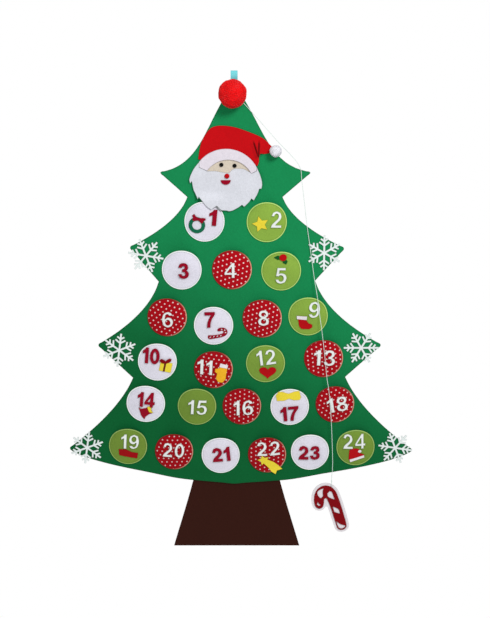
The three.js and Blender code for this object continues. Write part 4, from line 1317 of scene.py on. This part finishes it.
for stripe, degrees in enumerate((-12, 38, 96), 4):
    ends = [math.radians(degrees + shift_by) for shift_by in (-10, 10)]
    a, b = ([(HOOK[0] + r * math.cos(t + (r - 5) * 0.05), HOOK[1] + r * math.sin(t + (r - 5) * 0.05))
             for r in (5.1, 7.7)] for t in ends)
    layer(f"felt_cane_stripe_{stripe}", 7, "cane_white", drawn(*a, *b[::-1]))
print("felts in figures:", sum(len(pieces) for pieces in figure_pieces.values()))

# %% [markdown]
# ## The bearded head
#
# The head under the top of the tree is built in layers as well: a face, a jagged beard
# over its lower part, a red hat, and a curved white brim over the join. The lowest lock of
# the beard hangs over the first pocket, so the beard stands off the tree there. It is cut
# flat like the rest and then lifted by the same rule that the solid follows.


# %% The face and the beard
def rise(t):
    """Goes smoothly from 0 to 1 as t does, and stays at its ends beyond them."""
    return smooth(np.clip(t, 0, 1))


LOCK_MIDDLE, LOCK_HALF_WIDTH, LOCK_TOP = -48 * MM, 33 * MM, -225 * MM
LOCK_LIFT = 8.5 * MM
SIDE_RUN, TOP_RUN = 21 * MM, 17 * MM


def beard_lift(x, z):
    """How much further the beard stands off where its lock passes the first pocket."""
    sideways = rise((LOCK_HALF_WIDTH - np.abs(x - LOCK_MIDDLE)) / SIDE_RUN)
    return LOCK_LIFT * sideways * rise((LOCK_TOP - z) / TOP_RUN)


FELT_GAP = 0.3 * MM
HEAD_THICKNESS = 2 * MM
ON_HEAD = 2 * FELT_GAP + HEAD_THICKNESS
ON_BEARD = 3 * FELT_GAP + 2 * HEAD_THICKNESS
face_piece, face_lines = felt_for("felt_face", "santa_face", felts["face"], "face_felt")
beard_lines = [cut_line(line, wander=0.25 * MM) for line in outlines_of("santa_beard")]
beard_mesh = cut_felt(beard_lines, HEAD_THICKNESS, felts["white"], 4 * MM, 0.5 * MM, 0.15 * MM)
places = places_of(beard_mesh)
places[:, 1] -= beard_lift(places[:, 0], places[:, 2])
shift(put_places(beard_mesh, places), y=TREE_FRONT - ON_HEAD)
beard_piece = place_piece("felt_beard", beard_mesh, "santa_beard", slot="white_felt")
print("beard faces:", len(beard_mesh.polygons))

# %% [markdown]
# The hat's tip is folded down to the right, and two creases are pressed into the felt
# where it bends. A crease is a narrow groove that runs out at its lower end, with the
# felt standing a little proud between the two. The mesh carries the depth of the crease
# as `crease`, and the hat's finish is darker there, where little light comes in.

# %% The hat and its brim
HAT_RED = (196, 6, 16)
CREASES = [((35.4, -129), (44, -156)), ((46.7, -129), (46, -157))]
CREASE_DEPTH, CREASE_WIDTH = 4.2 * MM, 1.5 * MM
FOLD_HEIGHT, FOLD_WIDTH = 3.2 * MM, 5 * MM
hat_felt, tree, shader, place = new_finish("hat felt")
shade_of_crease = 1 - 0.8 * attribute(tree, "crease")
make_matted(tree, shader, place, shaded(tree, linear(*HAT_RED), shade_of_crease))


def fold_of_hat(x, z):
    """How far the felt stands off at its folds, and how deep each point is in a crease."""
    total, depth = np.zeros(len(x)), np.zeros(len(x))
    for top, end in CREASES:
        start = np.array(top) * MM
        way = np.array(end) * MM - start
        length = np.linalg.norm(way)
        way /= length
        along = ((x - start[0]) * way[0] + (z - start[1]) * way[1]) / length
        aside = np.abs((x - start[0]) * -way[1] + (z - start[1]) * way[0])
        reach = rise(along * 2.5 + 0.3) * rise((1.25 - along) * 4)
        groove = reach * np.exp(-((aside / CREASE_WIDTH) ** 2))
        total += reach * FOLD_HEIGHT * np.exp(-((aside / FOLD_WIDTH) ** 2)) - CREASE_DEPTH * groove
        depth = np.maximum(depth, groove)
    return total, depth


hat_lines = [cut_line(line) for line in outlines_of("santa_hat")]
hat_mesh = cut_felt(hat_lines, HEAD_THICKNESS, hat_felt, 1.2 * MM, 0.5 * MM, 0.15 * MM)
places = places_of(hat_mesh)
folds, creased = fold_of_hat(places[:, 0], places[:, 2])
on_front = places[:, 1] < -0.6 * HEAD_THICKNESS
places[:, 1] -= folds * on_front
hat_mesh.attributes.new("crease", "FLOAT", "POINT").data.foreach_set("value", creased)
shift(put_places(hat_mesh, places), y=TREE_FRONT - FELT_GAP)
hat_piece = place_piece("felt_hat", hat_mesh, "santa_hat", slot="hat_felt")
brim_piece, brim_lines = felt_for("felt_brim", "santa_hat_brim", felts["brim"], "white_felt")
print("hat faces:", len(hat_mesh.polygons))

# %% [markdown]
# The eyes and the nose are small padded buttons of felt, and the mouth is a flat half
# moon. A button is a turned shape: a short profile, carried round its middle.


# %% The eyes, the nose and the mouth
PROFILE = [(0.9, 0), (1, 0.16), (0.98, 0.4), (0.86, 0.68), (0.6, 0.9), (0.3, 0.98)]
SPOKES = 28


def button(name, finish, slot, off):
    """A round padded felt, as wide and as high as the solid it stands for."""
    node = f"santa_{name}"
    low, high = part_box(node)
    x, z = (low.x + high.x) / 2, (low.z + high.z) / 2
    radius, height = (high.z - low.z) / 2, high.y - low.y
    turns = [math.tau * i / SPOKES for i in range(SPOKES)]
    circle = [(radius * math.cos(t), radius * math.sin(t)) for t in turns]
    points = [(share * a, -height * level, share * b) for share, level in PROFILE for a, b in circle]
    top = len(points)
    faces = [tuple(range(SPOKES)[::-1])]
    for row in range(0, top, SPOKES):
        for i in range(row, row + SPOKES):
            before = i - 1 if i > row else row + SPOKES - 1
            outer = (before, i, i + SPOKES, before + SPOKES)
            faces.append(outer if row + SPOKES < top else (before, i, top))
    mesh = new_mesh(name, [*points, (0, -height, 0)], faces, finish)
    mesh.shade_smooth()
    return place_piece(name, shift(mesh, x, TREE_FRONT - off + FELT_GAP, z), node, slot=slot)


eyes = [button(f"eye_{side}", felts["black"], "black_felt", ON_HEAD) for side in ("left", "right")]
nose = button("nose", felts["red"], "nose_felt", ON_BEARD)
fine_cut = {"edge": 0.3 * MM, "spacing": 3 * MM}
mouth, _ = felt_for("felt_mouth", "santa_mouth", felts["number_red"], "red_felt", **fine_cut)
print("parts of the face:", len(eyes) + 2)

# %% [markdown]
# ## The pompoms
#
# A pompom is yarn wound round a card, tied in the middle and cut, so hundreds of yarn ends
# stand out from one point. The tree scatters points on a small core, sets one yarn on
# each, lets the yarns lean and differ in length, bends them a little, and presses them
# flat where the pompom is sewn to the felt behind it.


# %% A tree for a yarn pompom
LEAN = 0.16
SHORTEST = 0.97
CORE_SHARE, FILLED_SHARE = 0.55, 0.93
WAVE_SCALE, WAVE_REACH = 90.0, 3 * MM


def random_number(tree, low, high, seed):
    node = add(tree, "FunctionNodeRandomValue", {2: low, 3: high, 8: seed}, data_type="FLOAT")
    return Number(tree, node.outputs[1])


def pompom_tree():
    tree, _, size = geometry_tree(
        "yarn pompom", Radius=26 * MM, Yarn=1.4 * MM, Gap=0.8 * MM, Back=20 * MM, Seed=3
    )
    seed, core_radius = size["Seed"], size["Radius"] * CORE_SHARE
    core = geometry(tree, "MeshIcoSphere", {"Radius": core_radius, "Subdivisions": 5})
    inputs = {"Mesh": core, "Distance Min": size["Gap"], "Density Max": 4e6, "Seed": seed}
    roots = add(tree, "GeometryNodeDistributePointsOnFaces", inputs, distribute_method="POISSON")
    reach = joined(tree, 0.0, 0.0, size["Radius"] - core_radius)
    line = geometry(tree, "CurvePrimitiveLine", {"End": reach})
    line = geometry(tree, "ResampleCurve", {"Curve": line, "Count": 3})
    gone = Number(tree, add(tree, "GeometryNodeSplineParameter").outputs["Factor"])
    fuller = 0.7 + 0.6 * gone - 0.5 * (gone**8)
    line = geometry(tree, "SetCurveRadius", {"Curve": line, "Radius": fuller})
    inputs = {0: (-LEAN,) * 3, 1: (LEAN,) * 3, 8: seed}
    lean = add(tree, "FunctionNodeRandomValue", inputs, data_type="FLOAT_VECTOR").outputs[0]
    outward = vector(tree, "ADD", {0: roots.outputs["Normal"], 1: lean})
    inputs = {
        "Points": roots.outputs["Points"],
        "Instance": tube(tree, line, 4, size["Yarn"] / 2),
        "Rotation": facing(tree, outward, "Z"),
        "Scale": joined(tree, 1.0, 1.0, random_number(tree, SHORTEST, 1.0, seed + 1)),
    }
    yarns = geometry(tree, "InstanceOnPoints", inputs)
    inputs = {"Geometry": yarns, "Name": "shade", "Value": random_number(tree, 0.0, 1.0, seed + 2)}
    yarns = geometry(tree, "StoreNamedAttribute", inputs, data_type="FLOAT", domain="INSTANCE")
    yarns = geometry(tree, "RealizeInstances", {"Geometry": yarns})
    middle = geometry(tree, "MeshIcoSphere", {"Radius": size["Radius"] * FILLED_SHARE, "Subdivisions": 4})
    ball = joined_meshes(tree, (yarns, softened(tree, middle)))
    inputs = {"Vector": geometry(tree, "InputPosition"), "Scale": WAVE_SCALE, "Detail": 1.0}
    wave = add(tree, "ShaderNodeTexNoise", inputs).outputs["Color"]
    wave = vector(tree, "SUBTRACT", {0: wave, 1: (0.5, 0.5, 0.5)})
    waved = placed(tree, ball, vector(tree, "SCALE", {0: wave, "Scale": WAVE_REACH}), by="Offset")
    x, y, z = split(tree, geometry(tree, "InputPosition"))
    pressed = joined(tree, x, y.do("MINIMUM", size["Back"]), z)
    return end_tree(tree, placed(tree, waved, pressed), size["Finish"])


pompom = pompom_tree()


def pompom_for(node, name, yarn, centre_off, back_off, **sizes):
    """A yarn pompom as wide as its solid, pressed on the felt behind it."""
    low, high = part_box(node)
    mesh = grown(pompom, threads[yarn], Back=centre_off - back_off, **sizes)
    shift(mesh, (low.x + high.x) / 2, TREE_FRONT - centre_off, (low.z + high.z) / 2)
    return place_piece(name, mesh, node, slot=yarn)


RED_YARN = {"Radius": 26.8 * MM, "Yarn": 1.15 * MM, "Gap": 0.57 * MM}
WHITE_YARN = {"Radius": 11.6 * MM, "Yarn": 0.8 * MM, "Gap": 0.38 * MM, "Seed": 8}
top_pompom = pompom_for("top_pompom", "yarn_pompom", "red_yarn", 20 * MM, FELT_GAP, **RED_YARN)
hat_pompom = pompom_for(
    "hat_pompom", "yarn_hat_pompom", "white_yarn", ON_HEAD + 8.5 * MM, ON_HEAD, **WHITE_YARN
)
print("pompom faces:", len(top_pompom.data.polygons), len(hat_pompom.data.polygons))

# %% [markdown]
# ## The ribbon loop
#
# A light blue ribbon is folded double behind the top of the tree and stands up as a loop
# for the nail. It is grosgrain, so close ribs run across it. The ribbon is one strip that
# follows a line in the plane x = 0, and its UV map holds the metres along and across it.

# %% Fold the ribbon
RIBBON_WIDTH = 13 * MM
RIBBON_THICKNESS = 0.8 * MM
RIB_PITCH, WARP_PITCH = 0.75 * MM, 0.35 * MM
FIRM_EDGE = 5.6 * MM
SIDE = [(0.65, -68), (0.65, -30), (0.65, -26), (3.76, -17.16), (4.7, -8.84), (2.91, -1.58)]


def ribbon_finish(name, colour):
    """Grosgrain: ribs across the ribbon, a firm edge, and a soft gloss on the ribs."""
    material, tree, shader, place = new_finish(name)
    across, along, _ = split(tree, add(tree, "ShaderNodeUVMap").outputs[0])
    rib = (along * (math.tau / RIB_PITCH)).do("SINE") * 0.5 + 0.5
    warp = (across * (math.tau / WARP_PITCH)).do("SINE") * 0.5 + 0.5
    edge = between((across.do("ABSOLUTE") - FIRM_EDGE) / (0.5 * MM), 0.0, 1.0)
    cloud = noise(tree, place, 90, 2)
    value = 0.9 + 0.1 * rib + 0.03 * warp - 0.08 * edge + 0.1 * (cloud - 0.5)
    paint = shaded(tree, linear(*colour), value)
    surface = {"Roughness": 0.55, "Sheen Weight": 0.15}
    cover(tree, shader, paint, rib + 0.25 * warp, 0.15 * MM, surface)
    return material


def ribbon_mesh(line, width, thickness, finish, columns=12):
    """A closed strip of even thickness along a line of (y, z) points, with its UV map."""
    ahead = np.gradient(line, axis=0)
    ahead /= np.linalg.norm(ahead, axis=1)[:, None]
    side = np.stack([ahead[:, 1], -ahead[:, 0]], 1)
    gone = np.concatenate([[0], np.cumsum(np.linalg.norm(np.diff(line, axis=0), axis=1))])
    half = thickness / 2
    section = [(width * (i / columns - 0.5), -half) for i in range(columns + 1)]
    section += [(x, half) for x, _ in section[::-1]]
    count = len(section)
    points = [
        (x, *(place + normal * off)) for place, normal in zip(line, side) for x, off in section
    ]
    faces = []
    for row in range(len(line) - 1):
        here, there = row * count, (row + 1) * count
        for i in range(count):
            j = (i + 1) % count
            faces.append((here + i, here + j, there + j, there + i))
    last = len(points) - count
    faces += [tuple(range(count))[::-1], tuple(range(last, last + count))]
    mesh = new_mesh("ribbon", points, faces, finish)
    put_map(mesh, "UVMap", np.array([(x, along) for along in gone for x, _ in section]))
    return mesh


half_loop = [(y * MM, z * MM) for y, z in SIDE]
loop_line = curve_through([*half_loop, (0, 0.5 * MM), *[(-y, z) for y, z in half_loop[::-1]]], 8)
grosgrain = ribbon_finish("blue grosgrain", (108, 210, 218))
loop_mesh = ribbon_mesh(loop_line, RIBBON_WIDTH, RIBBON_THICKNESS, grosgrain)
loop_piece = place_piece("ribbon_loop", loop_mesh, "hanging_loop", slot="blue_ribbon")

# %% [markdown]
# ## The marker
#
# The marker is a candy cane that is hung on the pocket of the day. It is two felts: a
# white backing with the eyelet, and a red cane on top with slanting windows that let the
# white show as stripes. It hangs turned, with its weight below the eyelet.

# %% The candy cane
(backing_piece, backing_lines), (cane_piece, cane_lines) = [
    felt_for(
        f"felt_cane_{part}", f"candy_cane_{part}", felts[f"cane_{colour}"], f"{colour}_felt",
        body="marker", edge=0.35 * MM,
    )
    for part, colour in (("backing", "white"), ("front", "red"))
]
print("windows in the cane:", len(cane_lines) - 1)

# %% [markdown]
# ## What is soft
#
# The string is a cord of known length, and the larger felts and the ribbon are sheets of
# known cut. The lines below only work out the area of each larger felt's outline and
# gather the felts glued on each pocket, and keep neither.


def declare(lines):
    area_of(lines)


declare(tree_lines)
declare(trunk_lines)
declare(face_lines)
declare(hat_lines)
declare(beard_lines)
declare(brim_lines)
declare(backing_lines)
declare(cane_lines)
for number, piece in pocket_pieces.items():
    glued = number_pieces[number] + figure_pieces.get(number, [])

# %% [markdown]
# ## Floor and light
#
# The photograph has a plain white background and soft light from high on the right. The
# floor is pale and lies below the picture. What the camera sees of the world is white,
# and that adds no light to the felt.

# %% Set the stage
floor_finish, tree, shader, place = new_finish("pale floor")
cloud = noise(tree, place, 3, 2)
put(tree, shader.inputs["Base Color"], shaded(tree, linear(236, 236, 236), 0.97 + 0.06 * cloud))
shader.inputs["Roughness"].default_value = 0.8
FLOOR_LEVEL = -1.6
floor_corners = [(x, y, FLOOR_LEVEL) for x, y in ((-1.2, -1.2), (1.2, -1.2), (1.2, 0.72), (-1.2, 0.72))]
floor_mesh = new_mesh("floor", floor_corners, [(0, 1, 2, 3)], floor_finish)
new_object("floor", floor_mesh)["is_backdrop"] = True

AMBIENT = 0.4
world = bpy.data.worlds.new("studio")
world.use_nodes = True
bpy.context.scene.world = world
tree = world.node_tree
rays = add(tree, "ShaderNodeLightPath")
seen = Number(tree, rays.outputs["Is Camera Ray"]).do("MAXIMUM", Number(tree, rays.outputs["Is Glossy Ray"]))
seen = seen.do("MAXIMUM", Number(tree, rays.outputs["Is Transmission Ray"]))
sky = tree.nodes["Background"]
put(tree, sky.inputs["Color"], (1, 1, 1, 1))
put(tree, sky.inputs["Strength"], AMBIENT + (1 - AMBIENT) * seen)


def lamp(name, place, target, watts, size):
    data = bpy.data.lights.new(name, "AREA")
    data.energy = watts
    data.shape = "DISK"
    data.size = size
    light = new_object(name, data)
    light.location = place
    light.rotation_euler = (Vector(target) - Vector(place)).to_track_quat("-Z", "Y").to_euler()


lamp("key", (1.1, -2.0, 1.3), (0, 0, -0.35), 50, 0.9)
lamp("fill", (-1.7, -1.9, -0.2), (0, 0, -0.5), 12, 1.6)
bpy.context.scene.view_settings.view_transform = "Standard"
print("lights: 2 lamps and the world")

# %% Finish
seen_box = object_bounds()
for label, (low, high) in (("model", cad_box), ("lesson", seen_box)):
    print(label, "size in mm:", [round((h - l) * 1000, 1) for l, h in zip(low, high)])
